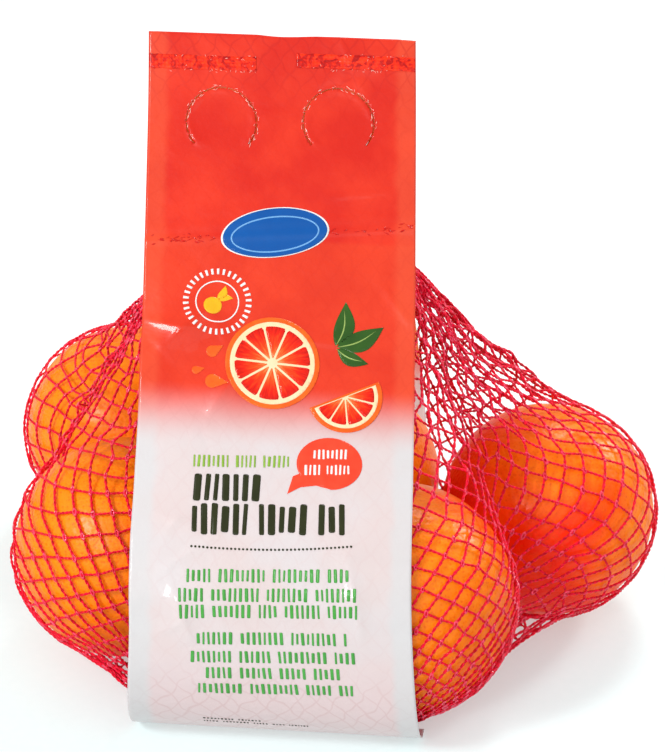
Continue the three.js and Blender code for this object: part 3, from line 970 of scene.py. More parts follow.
class Film:
    """A film as a grid of points, from which anything printed on it takes its place."""

    def __init__(self, place, length, width, height):
        self.columns = np.linspace(-width / 2, width / 2, int(width / CELL) + 1)
        self.rows = np.linspace(0, length, int(length / CELL) + 1)
        x, s = np.meshgrid(self.columns, self.rows)
        flat = place(s, x)
        normal = unit(np.cross(np.gradient(flat, axis=1), np.gradient(flat, axis=0)))
        if normal[0, 0, 1] > 0:
            normal = -normal
        self.points = flat + normal * height(x, s)[..., None]
        self.points[..., 2] = np.maximum(self.points[..., 2], FILM_FLOOR)
        self.normals = unit(np.cross(np.gradient(self.points, axis=1), np.gradient(self.points, axis=0)))
        self.normals *= np.sign((self.normals * normal).sum(-1, keepdims=True))

    def at(self, x, s, lift=0.0):
        """Points on the film, lifted outwards; straight between the grid's points."""
        row = np.interp(s, self.rows, np.arange(len(self.rows)))
        column = np.interp(x, self.columns, np.arange(len(self.columns)))
        return between(self.points + lift * self.normals, row, column)

    def sheet(self, name, material):
        """The film itself: a closed sheet whose outer face is the grid."""
        rows, columns = self.points.shape[:2]
        index = np.arange(rows * columns).reshape(rows, columns)
        quads = np.stack([index[:-1, :-1], index[1:, :-1], index[1:, 1:], index[:-1, 1:]], -1)
        quads = quads.reshape(-1, 4)
        a, b, c = (self.points.reshape(-1, 3)[quads[0, k]] for k in (0, 1, 2))
        if np.dot(np.cross(b - a, c - a), self.normals[0, 0]) < 0:
            quads = quads[:, ::-1]
        outer = self.points.reshape(-1, 3)
        inner = (self.points - SHEET * self.normals).reshape(-1, 3)
        rim = np.concatenate([index[0, :], index[1:, -1], index[-1, -2::-1], index[-2:0:-1, 0]])
        count = rows * columns
        ends = np.roll(rim, -1)
        wall = np.stack([rim, ends, ends + count, rim + count], -1)
        faces = np.vstack([quads, quads[:, ::-1] + count, wall]).tolist()
        piece = mesh_object(name, np.vstack([outer, inner]), faces, material)
        mesh = bmesh.new()
        mesh.from_mesh(piece.data)
        bmesh.ops.recalc_face_normals(mesh, faces=mesh.faces)
        mesh.to_mesh(piece.data)
        mesh.free()
        x, s = (np.tile(grid.ravel(), 2) for grid in np.meshgrid(self.columns, self.rows))
        store_film_uv(piece, x, s)
        return piece


# %% Both films


def place_front(s, x):
    """The front film; its left edge spreads towards the ground, and its cut top edge is wavy."""
    spread = 1 + 0.13 * smoothstep(s, 190, 250) * (x < 0)
    cut_edge = 0.6 * ripple(x, 0 * s, 15, 31) * (1 - smoothstep(s, 0, 5))
    return on_front(front_length - s - np.maximum(cut_edge, 0), x * spread, 0.0)


def place_back(s, x):
    """The back film from its top edge down behind the header, then round the rear fruit."""
    in_header = s < HEADER - TOP_STEP
    behind = on_front(front_length - TOP_STEP - s, x, FILM + GAP)
    below = on_back(back_profile.length - (s - HEADER + TOP_STEP), x, 0.0)
    return np.where(in_header[..., None], behind, below)


front_film = Film(place_front, front_length, FRONT_WIDTH, front_height)
back_film = Film(place_back, back_profile.length + HEADER - TOP_STEP, BACK_WIDTH, back_height)
for name, film in (("front", front_film), ("back", back_film)):
    print(name, "film:", len(film.rows), "rows of", len(film.columns), "points")

# %% [markdown]
# ## Film finish
# The film is clear polypropylene with ink on its inner side, so it has one glossy skin over soft
# colour. Where only the front film is there, at its edges, the red is painted paler: painted light
# that comes through. The net pressed behind it shows as faint diamonds. The white is painted a
# little pink, most near the bottom and least at the edges: painted light from the red net and
# fruit behind it. Red fades to white over 22 mm.

# %% The film's materials
NET_ACROSS = 6.4  # size of the net's cells seen through the film
NET_DOWN = 8.6


def film_place(tree):
    """Nodes for the place on a film: x and s in millimetres, and both as one vector."""
    spot = add_node(tree, "ShaderNodeUVMap", uv_map="film")
    spot = add_node(tree, "ShaderNodeSeparateXYZ", spot).outputs
    x = add_node(tree, "ShaderNodeMath", spot["X"], UV_WIDTH, -UV_WIDTH / 2, operation="MULTIPLY_ADD")
    s = add_node(tree, "ShaderNodeMath", spot["Y"], -UV_LENGTH, UV_LENGTH, operation="MULTIPLY_ADD")
    return x, s, add_node(tree, "ShaderNodeCombineXYZ", x, s)


def film_material(name, fade_from, fade_to, **shader):
    """Glossy film whose colour is set by film coordinates, in millimetres."""
    material, tree, surface = start_material(
        name, Roughness=0.36, IOR=1.49, Specular_IOR_Level=0.2, Coat_Weight=0.4, Coat_Roughness=0.07,
        **shader)
    x, s, flat = film_place(tree)
    cloud = add_node(tree, "ShaderNodeTexNoise", {"Vector": flat, "Scale": 0.045, "Detail": 3.0})
    warp = add_node(tree, "ShaderNodeTexNoise", {"Vector": flat, "Scale": 0.12, "Detail": 1.0})
    side = add_node(tree, "ShaderNodeMath", x, operation="ABSOLUTE")
    side = add_node(tree, "ShaderNodeMath", warp, 3.0, side, operation="MULTIPLY_ADD")

    # the net shows through the film near its top and bottom
    across = add_node(tree, "ShaderNodeMath", x, NET_ACROSS, operation="DIVIDE")
    across = add_node(tree, "ShaderNodeMath", warp, 1.1, across, operation="MULTIPLY_ADD")
    down = add_node(tree, "ShaderNodeMath", s, NET_DOWN, operation="DIVIDE")
    threads = []
    for slope in (-1.0, 1.0):
        slanted = add_node(tree, "ShaderNodeMath", down, slope, across, operation="MULTIPLY_ADD")
        near = add_node(tree, "ShaderNodeMath", slanted, 0.5, operation="PINGPONG")
        threads.append(add_node(
            tree, "ShaderNodeMapRange", near, 0.40, 0.49, interpolation_type="SMOOTHSTEP"))
    threads = add_node(tree, "ShaderNodeMath", *threads, operation="MAXIMUM")

    shares = {}
    for part, value, limits in (
        ("clouds", cloud, (0.35, 0.68)),
        ("body", s, (WELD_S + 1.0, WELD_S + 3.0, 0.0, 0.3)),
        # edge: the paler red at the film's edges is painted light that comes through the single film
        ("edge", side, (37.6, 41.0, 0.0, 0.45)),
        # white edge: at the edges the white is painted without the pink light from the red behind it
        ("white edge", side, (37.6, 41.0, 0.0, 0.7)),
        ("top", s, (6.0, 26.0, 1.0, 0.22)),
        ("bottom", s, (205.0, 226.0)),
        # low: the white is painted pinker towards the bottom, as painted light from the red net and fruit
        ("low", s, (185.0, 230.0, 0.0, 0.8)),
        ("fade", s, (fade_from, fade_to)),
    ):
        shares[part] = add_node(
            tree, "ShaderNodeMapRange", value, *limits, interpolation_type="SMOOTHSTEP")
    seen = add_node(tree, "ShaderNodeMath", shares["top"], shares["bottom"], operation="MAXIMUM")
    seen = add_node(tree, "ShaderNodeMath", threads, seen, operation="MULTIPLY")
    seen = add_node(tree, "ShaderNodeMath", seen, 0.38, operation="MULTIPLY")

    red = add_node(tree, "ShaderNodeMix", shares["clouds"], "#C81802", "#D62C10", data_type="RGBA")
    # the paler edge red is painted light
    for share, tint in ((shares["body"], "#D8441C"), (shares["edge"], "#DA502E"), (seen, "#B40A02")):
        red = add_node(tree, "ShaderNodeMix", share, red, tint, data_type="RGBA")
    # the white's pink tints are painted light from the red net and fruit behind the film
    white = add_node(tree, "ShaderNodeMix", shares["clouds"], "#CABBBA", "#C9C0C1", data_type="RGBA")
    for share, tint in ((shares["low"], "#D2B7B8"), (seen, "#C09898"), (shares["white edge"], "#C3C2C3")):
        white = add_node(tree, "ShaderNodeMix", share, white, tint, data_type="RGBA")
    colour = add_node(tree, "ShaderNodeMix", shares["fade"], red, white, data_type="RGBA")
    tree.links.new(colour.outputs[2], surface.inputs["Base Color"])
    tension = add_node(tree, "ShaderNodeTexNoise", {"Vector": flat, "Scale": 0.35, "Detail": 4.0})
    bump = add_node(tree, "ShaderNodeBump", {
        "Strength": 0.25, "Distance": 0.6 * MM, "Height": tension.outputs[0]})
    tree.links.new(bump.outputs[0], surface.inputs["Normal"])
    return material


# the red fades to white between these distances below the top edge
FRONT_FADE = (117.0, 139.0)
BACK_FADE = (150.0, 178.0)
printed_film = film_material("printed polypropylene film", *FRONT_FADE)
# the back film stands free of the fruit, so light comes through it from behind
plain_film = film_material(
    "plain polypropylene film", *BACK_FADE, Subsurface_Weight=0.7, Subsurface_Radius=(1.0, 1.0, 1.0),
    Subsurface_Scale=0.001)

# %% [markdown]
# ## Finger slits
# Two round slits in the header let fingers or a hook through. They are cut as a row of short
# arcs with small bridges between, through both films. Thin curved prisms, made along the film's
# own surface, are taken out of each sheet.

# %% Cutting the slits
SLIT_WIDTH = 0.42
DASHES = 13
BRIDGE = 2.6  # degrees
DASH_POINTS = 7
# top and bottom of the prisms from the front film, and how the back film has slipped
FRONT_CUT = (0.5, -0.35)
BACK_CUT = (-0.35, -3.0, SLIT_RADIUS - 1.1, 0.4, 0.6)


def slit_prisms(top, bottom, radius=SLIT_RADIUS, slip_x=0.0, slip_s=0.0):
    """Closed prisms, one for each short arc; the films have slipped a little over each other."""
    step = SLIT_SWEEP / DASHES
    points, faces = [], []
    for x0, s0 in np.array(SLITS) + (slip_x, slip_s):
        for k in range(DASHES):
            ends = SLIT_START + k * step, SLIT_START + (k + 1) * step - BRIDGE
            angles = np.radians(np.linspace(*ends, DASH_POINTS))
            for a, b in zip(angles, angles[1:]):
                corners = [(radius + r, t) for r, t in (
                    (-SLIT_WIDTH / 2, a), (SLIT_WIDTH / 2, a), (SLIT_WIDTH / 2, b), (-SLIT_WIDTH / 2, b))]
                x = np.array([x0 + r * math.cos(t) for r, t in corners])
                s = np.array([s0 + r * math.sin(t) for r, t in corners])
                first = len(points)
                points.extend(front_film.at(x, s, top))
                points.extend(front_film.at(x, s, bottom))
                i = [first + n for n in range(8)]
                faces += [(i[0], i[1], i[2], i[3]), (i[7], i[6], i[5], i[4])]
                faces += [(i[n], i[n + 4], i[(n + 1) % 4 + 4], i[(n + 1) % 4]) for n in range(4)]
    prism = mesh_object("slit_prisms", points, faces, smooth=False)
    shape = bmesh.new()
    shape.from_mesh(prism.data)
    bmesh.ops.remove_doubles(shape, verts=shape.verts, dist=0.001 * MM)
    inner = [f for f in shape.faces if all(len(e.link_faces) > 2 for e in f.edges)]
    bmesh.ops.delete(shape, geom=inner, context="FACES_ONLY")
    bmesh.ops.recalc_face_normals(shape, faces=shape.faces)
    shape.to_mesh(prism.data)
    shape.free()
    return prism


# %% Both films, cut


def cut(piece, cutter):
    """Takes the cutter out of a piece and keeps the result as a plain mesh."""
    modifier = piece.modifiers.new("cut", "BOOLEAN")
    modifier.object = cutter
    modifier.operation = "DIFFERENCE"
    modifier.solver = "MANIFOLD"
    evaluated = piece.evaluated_get(bpy.context.evaluated_depsgraph_get())
    made = bpy.data.meshes.new_from_object(evaluated)
    piece.modifiers.clear()
    piece.data = made
    print(piece.name, triangles(piece), "triangles after cutting")


front_piece = front_film.sheet("front_film_printed", printed_film)
back_piece = back_film.sheet("back_film_plain", plain_film)
for piece, prisms in (
    (front_piece, slit_prisms(*FRONT_CUT)),
    (back_piece, slit_prisms(*BACK_CUT)),
):
    cut(piece, prisms)
    bpy.data.objects.remove(prisms)

# %% [markdown]
# ## Print as thin ink
# The print is flexographic: flat fields of ink on the film. Each field is an outline in film
# coordinates, x from the middle line and s below the top edge. The outline is cut along the
# film's own grid and laid on it, so the ink takes every wrinkle. The design is a generic one for
# citrus fruit: a wheel of orange, a wedge, leaves and rows of small plain bars.

# %% Outlines in film coordinates


def turned(outline, x, s, angle=0.0, scale=1.0):
    """An outline moved to a place on the film, turned clockwise by an angle in degrees."""
    a = math.radians(angle)
    turn = np.array([[math.cos(a), math.sin(a)], [-math.sin(a), math.cos(a)]])
    return np.asarray(outline, float) @ turn * scale + (x, s)


def arc(rx, ry, start=0.0, end=360.0, count=48):
    """Points on an ellipse from one angle to another; a whole one doesn't repeat its first point."""
    angles = np.radians(np.linspace(start, end, count, endpoint=abs(end - start) < 359))
    return np.stack([rx * np.cos(angles), ry * np.sin(angles)], -1)


def bar(width, height, rounding):
    """A rounded bar; a rounding of 1 gives half-round ends."""
    r = min(width, height) / 2 * rounding
    x, s = width / 2 - r, height / 2 - r
    corners = [(x, s, 0), (-x, s, 90), (-x, -s, 180), (x, -s, 270)]
    return np.vstack([arc(r, r, angle, angle + 90, 6) + (cx, cs) for cx, cs, angle in corners])


def leaf(length, width, bend=0.15):
    """A pointed leaf from the origin along x."""
    t = np.linspace(0, 1, 18)
    middle = bend * length * np.sin(math.pi * t)
    half = width / 2 * np.sin(math.pi * t ** 0.85)
    upper = np.stack([t * length, middle - half], -1)
    return np.vstack([upper, np.stack([t * length, middle + half], -1)[-2:0:-1]])


def band(outer, inner, start, end, count):
    """A band of a circle; a whole ring is made of several."""
    return np.vstack([arc(outer, outer, start, end, count), arc(inner, inner, end, start, count)])


# %% Laying ink on the film
INK_LIFT = 0.04
FIRST_LIFT = 0.06
INK_THICKNESS = 0.03
SAME_POINT = 0.004
TOO_SHORT = 0.002


def clipped(outline, axis, limit, keep_above):
    """The part of an outline on one side of a grid line."""
    side = (outline[:, axis] - limit) * (1 if keep_above else -1)
    kept = []
    for k in range(len(outline)):
        a, b = outline[k - 1], outline[k]
        sa, sb = side[k - 1], side[k]
        if (sa < 0) != (sb < 0):
            kept.append(a + (b - a) * sa / (sa - sb))
        if sb >= 0:
            kept.append(b)
    return np.array(kept)


def cut_to_grid(outline, film):
    """The outline's pieces, each inside one cell of the film's grid."""
    parts = [outline]
    for axis, lines in ((0, film.columns), (1, film.rows)):
        smaller = []
        for part in parts:
            first = max(np.searchsorted(lines, part[:, axis].min(), "right") - 1, 0)
            last = min(np.searchsorted(lines, part[:, axis].max(), "left"), len(lines) - 1)
            for k in range(first, last):
                inside = clipped(part, axis, lines[k], True)
                if len(inside) > 2:
                    inside = clipped(inside, axis, lines[k + 1], False)
                if len(inside) > 2:
                    smaller.append(inside)
        parts = smaller
    return parts


def ink(name, outlines, material, layer):
    """One ink: its outlines laid on the front film as a thin closed layer."""
    points, faces = [], []
    for outline in outlines:
        for part in cut_to_grid(np.asarray(outline, float), front_film):
            faces.append(list(range(len(points), len(points) + len(part))))
            points.extend(part)
    x, s = np.array(points).T
    placed = front_film.at(x, s, FIRST_LIFT + INK_LIFT * layer)
    piece = mesh_object(name, placed, faces, material)
    store_film_uv(piece, x, s)
    mesh = bmesh.new()
    mesh.from_mesh(piece.data)
    bmesh.ops.remove_doubles(mesh, verts=mesh.verts, dist=SAME_POINT * MM)
    bmesh.ops.dissolve_degenerate(mesh, edges=mesh.edges, dist=TOO_SHORT * MM)
    facing = Vector(front_film.normals[len(front_film.rows) // 2, len(front_film.columns) // 2])
    for face in mesh.faces:
        if face.normal.dot(facing) < 0:
            face.normal_flip()
    mesh.to_mesh(piece.data)
    mesh.free()
    wall = piece.modifiers.new("thickness", "SOLIDIFY")
    wall.thickness = INK_THICKNESS * MM
    wall.offset = 0
    print(name, len(outlines), "outlines,", triangles(piece), "triangles")
    return piece


# %% [markdown]
# ## Ink colours
# Flexographic ink on glossy film is a little uneven: it thins out where the film stretches and
# shows a fine mottle. Each ink is one named colour with that mottle in its tone and its gloss.

# %% Ink materials
INK_FINISH = {
    "Roughness": 0.32, "Specular_IOR_Level": 0.2, "Coat_Weight": 0.12, "Coat_Roughness": 0.1}


def ink_material(name, colour, other, scale=260):
    """A printing ink with a fine mottle between two close tones."""
    material, tree, surface = start_material(name + " ink", **INK_FINISH)
    position = add_node(tree, "ShaderNodeTexCoord").outputs["Object"]
    mottle = add_node(tree, "ShaderNodeTexNoise", {"Vector": position, "Scale": scale, "Detail": 3.0})
    tone = add_node(tree, "ShaderNodeMix", mottle, colour, other, data_type="RGBA")
    tree.links.new(tone.outputs[2], surface.inputs["Base Color"])
    return material


blue_ink = ink_material("blue", "#00468E", "#0054A0", 120)
sky_ink = ink_material("sky blue", "#5C96CC", "#78AAD8", 120)
white_ink = ink_material("opaque white", "#DAD8D6", "#E6E4E2")
cream_ink = ink_material("cream", "#F0C090", "#F4D8B4")
peel_ink = ink_material("orange peel", "#E03A08", "#F4701C", 170)
leaf_ink = ink_material("leaf green", "#10300E", "#3C6A1E", 90)
vein_ink = ink_material("pale green", "#7F9A4C", "#9AB060")
dark_ink = ink_material("dark green", "#1C1F0A", "#2E3314")
text_ink = ink_material("fresh green", "#388C34", "#4C9E44")
script_ink = ink_material("spring green", "#7AA030", "#8CB044")
yolk_ink = ink_material("yolk yellow", "#F0A00C", "#F4B020")
drop_ink = ink_material("warm red", "#E8331C", "#F04A2E")

# %% [markdown]
# ## Pulp
# Inside a blood orange the juice sacs run outwards from the core, pale in the middle and dark red
# near the rim. The ink follows two numbers that the outlines carry: the angle round the core and
# the share of the radius. Streaks come from noise that changes fast with the angle only.

# %% The pulp's ink
flesh_ink, tree, surface = start_material("blood orange pulp ink", **INK_FINISH)
polar = add_node(tree, "ShaderNodeUVMap", uv_map="pulp")
polar = add_node(tree, "ShaderNodeSeparateXYZ", polar).outputs
around = add_node(tree, "ShaderNodeMath", polar["X"], 60.0, operation="MULTIPLY")
outward = add_node(tree, "ShaderNodeMath", polar["Y"], 2.5, operation="MULTIPLY")
rays = add_node(tree, "ShaderNodeCombineXYZ", around, outward)
sacs = add_node(tree, "ShaderNodeTexNoise", {"Vector": rays, "Scale": 1.6, "Detail": 3.0})
depth = add_node(tree, "ShaderNodeMath", sacs, 0.9, -0.45, operation="MULTIPLY_ADD")
depth = add_node(tree, "ShaderNodeMath", polar["Y"], depth, operation="ADD")
pulp = add_node(tree, "ShaderNodeValToRGB", depth, stops=[
    (0.01, "#F49050"), (0.3, "#EC4A10"), (0.62, "#DC1A02"), (0.99, "#A40400")])
tree.links.new(pulp.outputs[0], surface.inputs["Base Color"])


def give_pulp(piece, cores):
    """Stores, for each corner, the angle round its core and its share of the radius."""
    layer = piece.data.uv_layers.new(name="pulp").data
    place = np.zeros(len(layer) * 2, np.float32)
    piece.data.uv_layers["film"].data.foreach_get("uv", place)
    x, s = place[::2] * UV_WIDTH - UV_WIDTH / 2, (1 - place[1::2]) * UV_LENGTH
    away = [np.hypot(x - x0, s - s0) / radius for (x0, s0), radius in cores]
    nearest = np.argmin(away, axis=0)
    angle = np.choose(nearest, [np.arctan2(s - s0, x - x0) for (x0, s0), _ in cores])
    share = np.min(away, axis=0)
    layer.foreach_set("uv", np.stack([angle / math.tau + 0.5, share], -1).astype(np.float32).ravel())


# %% [markdown]
# ## The printed picture
# The picture sits where the red fades to white: an orange cut across, a wedge and a few leaves.
# Every field is built from arcs, so its sizes are radii and angles in millimetres and degrees.

# %% Fruit and leaves
WHEEL = (-1.5, 110.0)
WHEEL_RADIUS = 15.2
WHEEL_SEGMENTS = 10
WEDGE = (22.0, 120.0)
WEDGE_RADIUS = 12.0
WEDGE_TURN = -24
WEDGE_SEGMENTS = 5


def segment(radius, start, end, inner=0.14):
    """One segment of the cut fruit, with rounded outer corners."""
    middle, half = (start + end) / 2, (end - start) / 2
    outer = arc(radius, radius, middle - half * 0.80, middle + half * 0.80, 8)
    shoulder = arc(radius * 0.93, radius * 0.93, middle - half * 0.90, middle + half * 0.90, 2)
    tip = arc(radius * inner, radius * inner, middle + half * 0.3, middle - half * 0.3, 3)
    return np.vstack([shoulder[:1], outer, shoulder[1:], tip])


def on_wheel(outline):
    return turned(outline, *WHEEL)


def on_wedge(outline):
    return turned(outline, *WEDGE, WEDGE_TURN)


wheel_step, wedge_step = 360 / WHEEL_SEGMENTS, 180 / WEDGE_SEGMENTS
wheel_parts = [segment(WHEEL_RADIUS * 0.8, wheel_step * k + 4, wheel_step * (k + 1) + 4)
               for k in range(WHEEL_SEGMENTS)]
wedge_parts = [segment(WEDGE_RADIUS * 0.78, wedge_step * k, wedge_step * (k + 1), 0.12)
               for k in range(WEDGE_SEGMENTS)]
peel_outlines = [on_wheel(arc(WHEEL_RADIUS, WHEEL_RADIUS)),
                 on_wedge(arc(WEDGE_RADIUS, WEDGE_RADIUS, -3, 183, 40))]
pith_outlines = [on_wheel(arc(WHEEL_RADIUS * 0.9, WHEEL_RADIUS * 0.9)),
                 on_wedge(arc(WEDGE_RADIUS * 0.88, WEDGE_RADIUS * 0.88, 0, 180, 40))]
flesh_outlines = [on_wheel(part) for part in wheel_parts] + [on_wedge(part) for part in wedge_parts]

# %% Leaves and juice
SPRIG = (18.5, 104.0)
# length, width, bend and direction of each leaf
LEAVES = [(15.0, 6.4, 0.10, -78), (16.5, 6.8, 0.08, -26), (11.0, 4.8, 0.10, 24)]
leaves, veins = [], []
for length, width, bend, angle in LEAVES:
    leaves.append(turned(turned(leaf(length, width, bend), 0.8, 0), *SPRIG, angle))
    veins.append(turned(turned(leaf(0.86 * length, 0.45, bend * 1.05), 0.4, 0), *SPRIG, angle))
juice_drop = np.vstack([arc(1.9, 1.9, -20, 200, 20), [(0, -4.2)]])
# x, s, direction and scale of each drop
JUICE = [(-21, 107, 60, 1.0), (-26, 113.5, 75, 0.7), (-20.5, 117, 95, 1.25)]
juice = [turned(juice_drop, *drop_at) for drop_at in JUICE]

# %% The picture's inks
prints = [
    ink("print_leaves", leaves, leaf_ink, 1),
    ink("print_leaf_veins", veins, vein_ink, 2),
    ink("print_juice", juice, peel_ink, 1),
    ink("print_peel", peel_outlines, peel_ink, 3),
    ink("print_pith", pith_outlines, cream_ink, 4),
    ink("print_flesh", flesh_outlines, flesh_ink, 5),
]
give_pulp(prints[-1], [(WHEEL, WHEEL_RADIUS), (WEDGE, WEDGE_RADIUS)])

# %% [markdown]
# ## Plate, badge and rows
# A plain oval plate lies over the weld, and a round badge with a simple sprig sits below it at the
# left. Lower down, short upright strokes stand in rows with the weight and rhythm of print. One
# loop draws every row with seeded random widths, because even bars would look like a ruler.

# %% Rows of strokes
rng = np.random.default_rng(SEED)
TILT = -0.045  # the print climbs to the right
# left end, right end and distance below the top edge of each row
TEXT_ROWS = [(-26, 27.5, 180.2), (-28.5, 29.5, 186.2), (-28.2, 27.5, 191.3), (-23, 24, 200.1),
             (-25, 26, 206.6), (-20.5, 21.5, 212.6), (-23, 25, 218.9)]
# each row also has a height, the stroke's width, the gap between strokes, and a tilt
STROKE_ROWS = {
    "title": [(-25, -2.0, 151.4, 9.0, 1.65, 1.25, TILT), (-25, 25.5, 162.0, 10.4, 1.65, 1.25, TILT)],
    "rows": [(*row, 4.2, 0.72, 0.88, TILT) for row in TEXT_ROWS],
    "script": [(-25.5, 5.5, 142.6, 4.0, 0.6, 0.8, TILT)],
    "foot": [(-22.5, -5, 236.6, 1.0, 0.45, 0.5, 0.0), (-22.5, 10, 238.9, 0.9, 0.4, 0.5, 0.0)],
    "drop": [(12.5, 24.2, 140.2, 3.2, 0.6, 0.7, TILT), (9.8, 25.4, 145.4, 3.4, 0.6, 0.7, TILT)],
}


def row_of_strokes(left, right, s, height, stroke, gap, tilt):
    """Upright strokes in groups of up to nine, with random widths, heights and tilts."""
    strokes, x = [], left
    while x < right - stroke:
        for _ in range(rng.integers(4, 10)):
            width = stroke * rng.uniform(0.8, 1.5)
            if x + width > right:
                break
            tall = height * rng.choice((1.0, 1.0, 1.0, 0.84))
            middle = s + tilt * x
            strokes.append(turned(bar(width, tall, 0.6), x + width / 2, middle, rng.uniform(-3, 3)))
            x += width + gap
        x += 2.0 * gap
    return strokes


strokes_of = {name: [stroke for row in rows for stroke in row_of_strokes(*row)]
              for name, rows in STROKE_ROWS.items()}

# %% Plate, badge, drop and dots


def badge_ring(x, s, radius, width, parts, bridge):
    """A broken ring of short arcs; the bridge is half of each gap, in degrees."""
    step = 360 / parts
    return [turned(band(radius + width / 2, radius - width / 2, k * step + bridge,
                        (k + 1) * step - bridge, 8), x, s) for k in range(parts)]


PLATE = (-1.5, 66.9)
PLATE_TURN = -9
plate = np.vstack([arc(17.2, 8.6, 180, 360, 30), arc(17.2, 7.4, 0, 180, 30)[1:-1]])
plate_line = [turned(np.vstack([arc(14.6, 6.0, a, a + 60, 10), arc(14.1, 5.5, a + 60, a, 10)]),
                     *PLATE, PLATE_TURN) for a in range(0, 360, 60)]
BADGE = (-19.8, 90.3)
badge_rings = badge_ring(*BADGE, 6.9, 0.42, 6, 0) + badge_ring(*BADGE, 10.2, 1.9, 34, 3.1)
sprig = [turned(arc(2.9, 2.9), BADGE[0] - 1.4, BADGE[1] + 1.4),
         turned(leaf(5.2, 2.6), BADGE[0], BADGE[1] - 1, -60),
         turned(leaf(4.6, 2.3, -0.15), BADGE[0] + 0.6, BADGE[1] - 0.4, -12)]
DROP = (17.6, 142.6)
drop = np.vstack([arc(10.4, 8.7, -205, 85, 40), [(-4.0, 7.4), (-9.0, 8.2), (-13.0, 10.6), (-11.4, 4.6)]])
DOT_LINE = 172.0  # the dotted line's distance below the top edge, and how much it sags
DOT_SAG = 0.0016
DOT_RADIUS = 0.38
dots = [turned(arc(DOT_RADIUS, DOT_RADIUS, count=10), x, DOT_LINE - DOT_SAG * (x * x) + TILT * x)
        for x in np.arange(-24.7, 25.4, 1.25)]

# %% The other inks
prints += [
    ink("print_plate_edge", [turned(plate, *PLATE, PLATE_TURN, 1.035)], white_ink, 1),
    ink("print_plate", [turned(plate, *PLATE, PLATE_TURN)], blue_ink, 2),
    ink("print_plate_line", plate_line, sky_ink, 3),
    ink("print_badge", badge_rings, white_ink, 1),
    ink("print_sprig", sprig, yolk_ink, 1),
    ink("print_drop", [turned(drop, *DROP)], drop_ink, 1),
    ink("print_drop_strokes", strokes_of["drop"], white_ink, 2),
    ink("print_script", strokes_of["script"], script_ink, 1),
    ink("print_title", strokes_of["title"], dark_ink, 1),
    ink("print_dots", dots, dark_ink, 1),
    ink("print_rows", strokes_of["rows"], text_ink, 1),
    ink("print_foot", strokes_of["foot"], dark_ink, 1),
]

# %% [markdown]
# ## Heat seals, weld marks, whitening and painted glints
# Near the top the films are sealed by two hot bars. There the film melts clear and the red turns
# deeper, with the crushed net as dark blotches in it. Pulled film goes white at its cuts and at
# the ends of the seals, and the pale flecks there are painted glints too; along the weld below the
# header the net leaves small dark marks.

# %% The seals' material


def seal_material():
    """Melted film: clear deep red with crushed net in it and a pressed pattern of small cushions."""
    material, tree, surface = start_material(
        "heat-sealed film", Roughness=0.3, Specular_IOR_Level=0.2, Coat_Weight=0.2, Coat_Roughness=0.08)
    x, s, flat = film_place(tree)
    crushed = add_node(tree, "ShaderNodeTexNoise", {
        "Vector": flat, "Scale": 0.42, "Detail": 4.0, "Distortion": 1.2})
    melted = add_node(tree, "ShaderNodeValToRGB", crushed, stops=[
        (0.34, "#A00000"), (0.46, "#C41000"), (0.54, "#E82600"), (0.75, "#EE3A06")])
    tree.links.new(melted.outputs[0], surface.inputs["Base Color"])
    cushions = [add_node(tree, "ShaderNodeMath", value, 0.6, operation="PINGPONG") for value in (x, s)]
    cushions = add_node(tree, "ShaderNodeMath", *cushions, operation="MULTIPLY")
    bump = add_node(tree, "ShaderNodeBump", {
        "Strength": 0.4, "Distance": 0.4 * MM, "Height": cushions.outputs[0]})
    tree.links.new(bump.outputs[0], surface.inputs["Normal"])
    return material


# %% Small marks
SLIVER_POINTS = 5
BAND_POINTS = 24


def sliver(x, s, length, width, angle):
    """A small irregular mark, pointed at both ends."""
    t = np.linspace(0, 1, SLIVER_POINTS)
    half = width / 2 * np.sin(math.pi * t) * rng.uniform(0.5, 1.3, SLIVER_POINTS)
    along = t * length - length / 2
    upper, lower = np.stack([along, -half], -1), np.stack([along, half], -1)
    return turned(np.vstack([upper, lower[-2:0:-1]]), x, s, angle)


def ragged(left, right, top, bottom):
    """A sealed band with slightly uneven long sides."""
    x = np.linspace(left, right, BAND_POINTS)
    upper, lower = (np.stack([x, s + rng.normal(0, 0.1, BAND_POINTS)], -1) for s in (top, bottom))
    return np.vstack([upper, lower[::-1]])
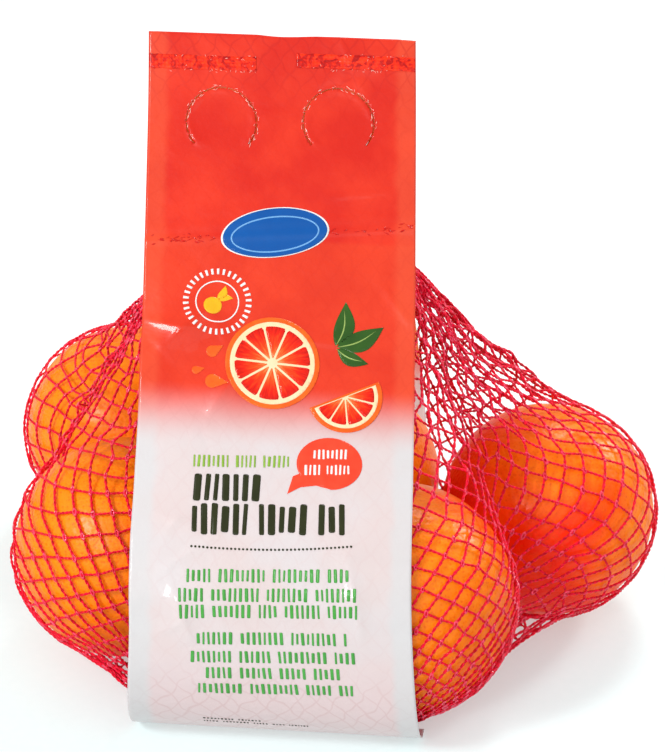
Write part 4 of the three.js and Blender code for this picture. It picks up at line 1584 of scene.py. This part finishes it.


# %% Seals, weld marks, and flecks of whitening and painted glint
SEALS = [(-43.9, -8.3, 2.1), (4.9, 43.9, 0.4)]  # left end, right end and how far each bar sits lower
seals = [ragged(left, right, SEAL_TOP + low, SEAL_BOTTOM + low - 0.3) for left, right, low in SEALS]
WELD_MARKS = 95
WELD_REACH = 43  # the marks lie this far to both sides, but not under the plate
PLATE_HALF = 18
WHITENING_AND_GLINT_FLECKS_BY_SLIT = 34
WHITENING_AND_GLINT_FLECKS_BY_SEAL = 30
weld_marks, whitening_and_glint_flecks = [], []
for _ in range(WELD_MARKS):
    x = rng.uniform(-WELD_REACH, WELD_REACH)
    if abs(x - PLATE[0]) > PLATE_HALF:
        weld_marks.append(sliver(x, WELD_S - WELD_TILT * x + rng.normal(0, 0.7), rng.uniform(0.8, 2.4),
                                 rng.uniform(0.2, 0.55), rng.uniform(-35, 35)))
# pale flecks along the slits and the seals: stress whitening and painted glints
for x0, s0 in SLITS:
    for _ in range(WHITENING_AND_GLINT_FLECKS_BY_SLIT):
        angle = rng.uniform(SLIT_START, SLIT_START + SLIT_SWEEP)
        radius = SLIT_RADIUS + rng.choice((-1, 1)) * rng.uniform(0.35, 0.9)
        x = x0 + radius * math.cos(math.radians(angle))
        s = s0 + radius * math.sin(math.radians(angle))
        length, width = rng.uniform(0.5, 2.0), rng.uniform(0.1, 0.3)
        whitening_and_glint_flecks.append(sliver(x, s, length, width, angle + 90 + rng.uniform(-30, 30)))
for left, right, low in SEALS:
    for _ in range(WHITENING_AND_GLINT_FLECKS_BY_SEAL):
        x = rng.triangular(left + 4, right if left < 0 else left + 24, right)
        s = low + rng.choice((SEAL_TOP, SEAL_BOTTOM, rng.uniform(SEAL_TOP, SEAL_BOTTOM)))
        s = s + rng.normal(0, 0.3)
        whitening_and_glint_flecks.append(sliver(x, s, rng.uniform(0.3, 1.1), rng.uniform(0.08, 0.22), rng.uniform(-80, 80)))
prints += [
    ink("film_seals", seals, seal_material(), 1),
    ink("film_weld_marks", weld_marks, ink_material("crushed net", "#B80A02", "#D0180A"), 1),
    ink("film_whitening_and_painted_glints", whitening_and_glint_flecks, ink_material("stress-whitened film with painted glints", "#F08C7C", "#F6CCC0", 900), 2),
]

# %% [markdown]
# ## One body
# Every piece rides on the one body of the bag, and the CAD pieces that it stands for are hidden.
# The film and net sizes stay those of the CAD model.

# %% Bodies and hidden CAD pieces
for piece in oranges + net_pieces:
    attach(piece, "root")
    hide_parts("filled_net")
for piece in [front_piece] + prints:
    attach(piece, "root")
    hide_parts("front_film")
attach(back_piece, "root")
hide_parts("back_film")

bpy.context.view_layer.update()
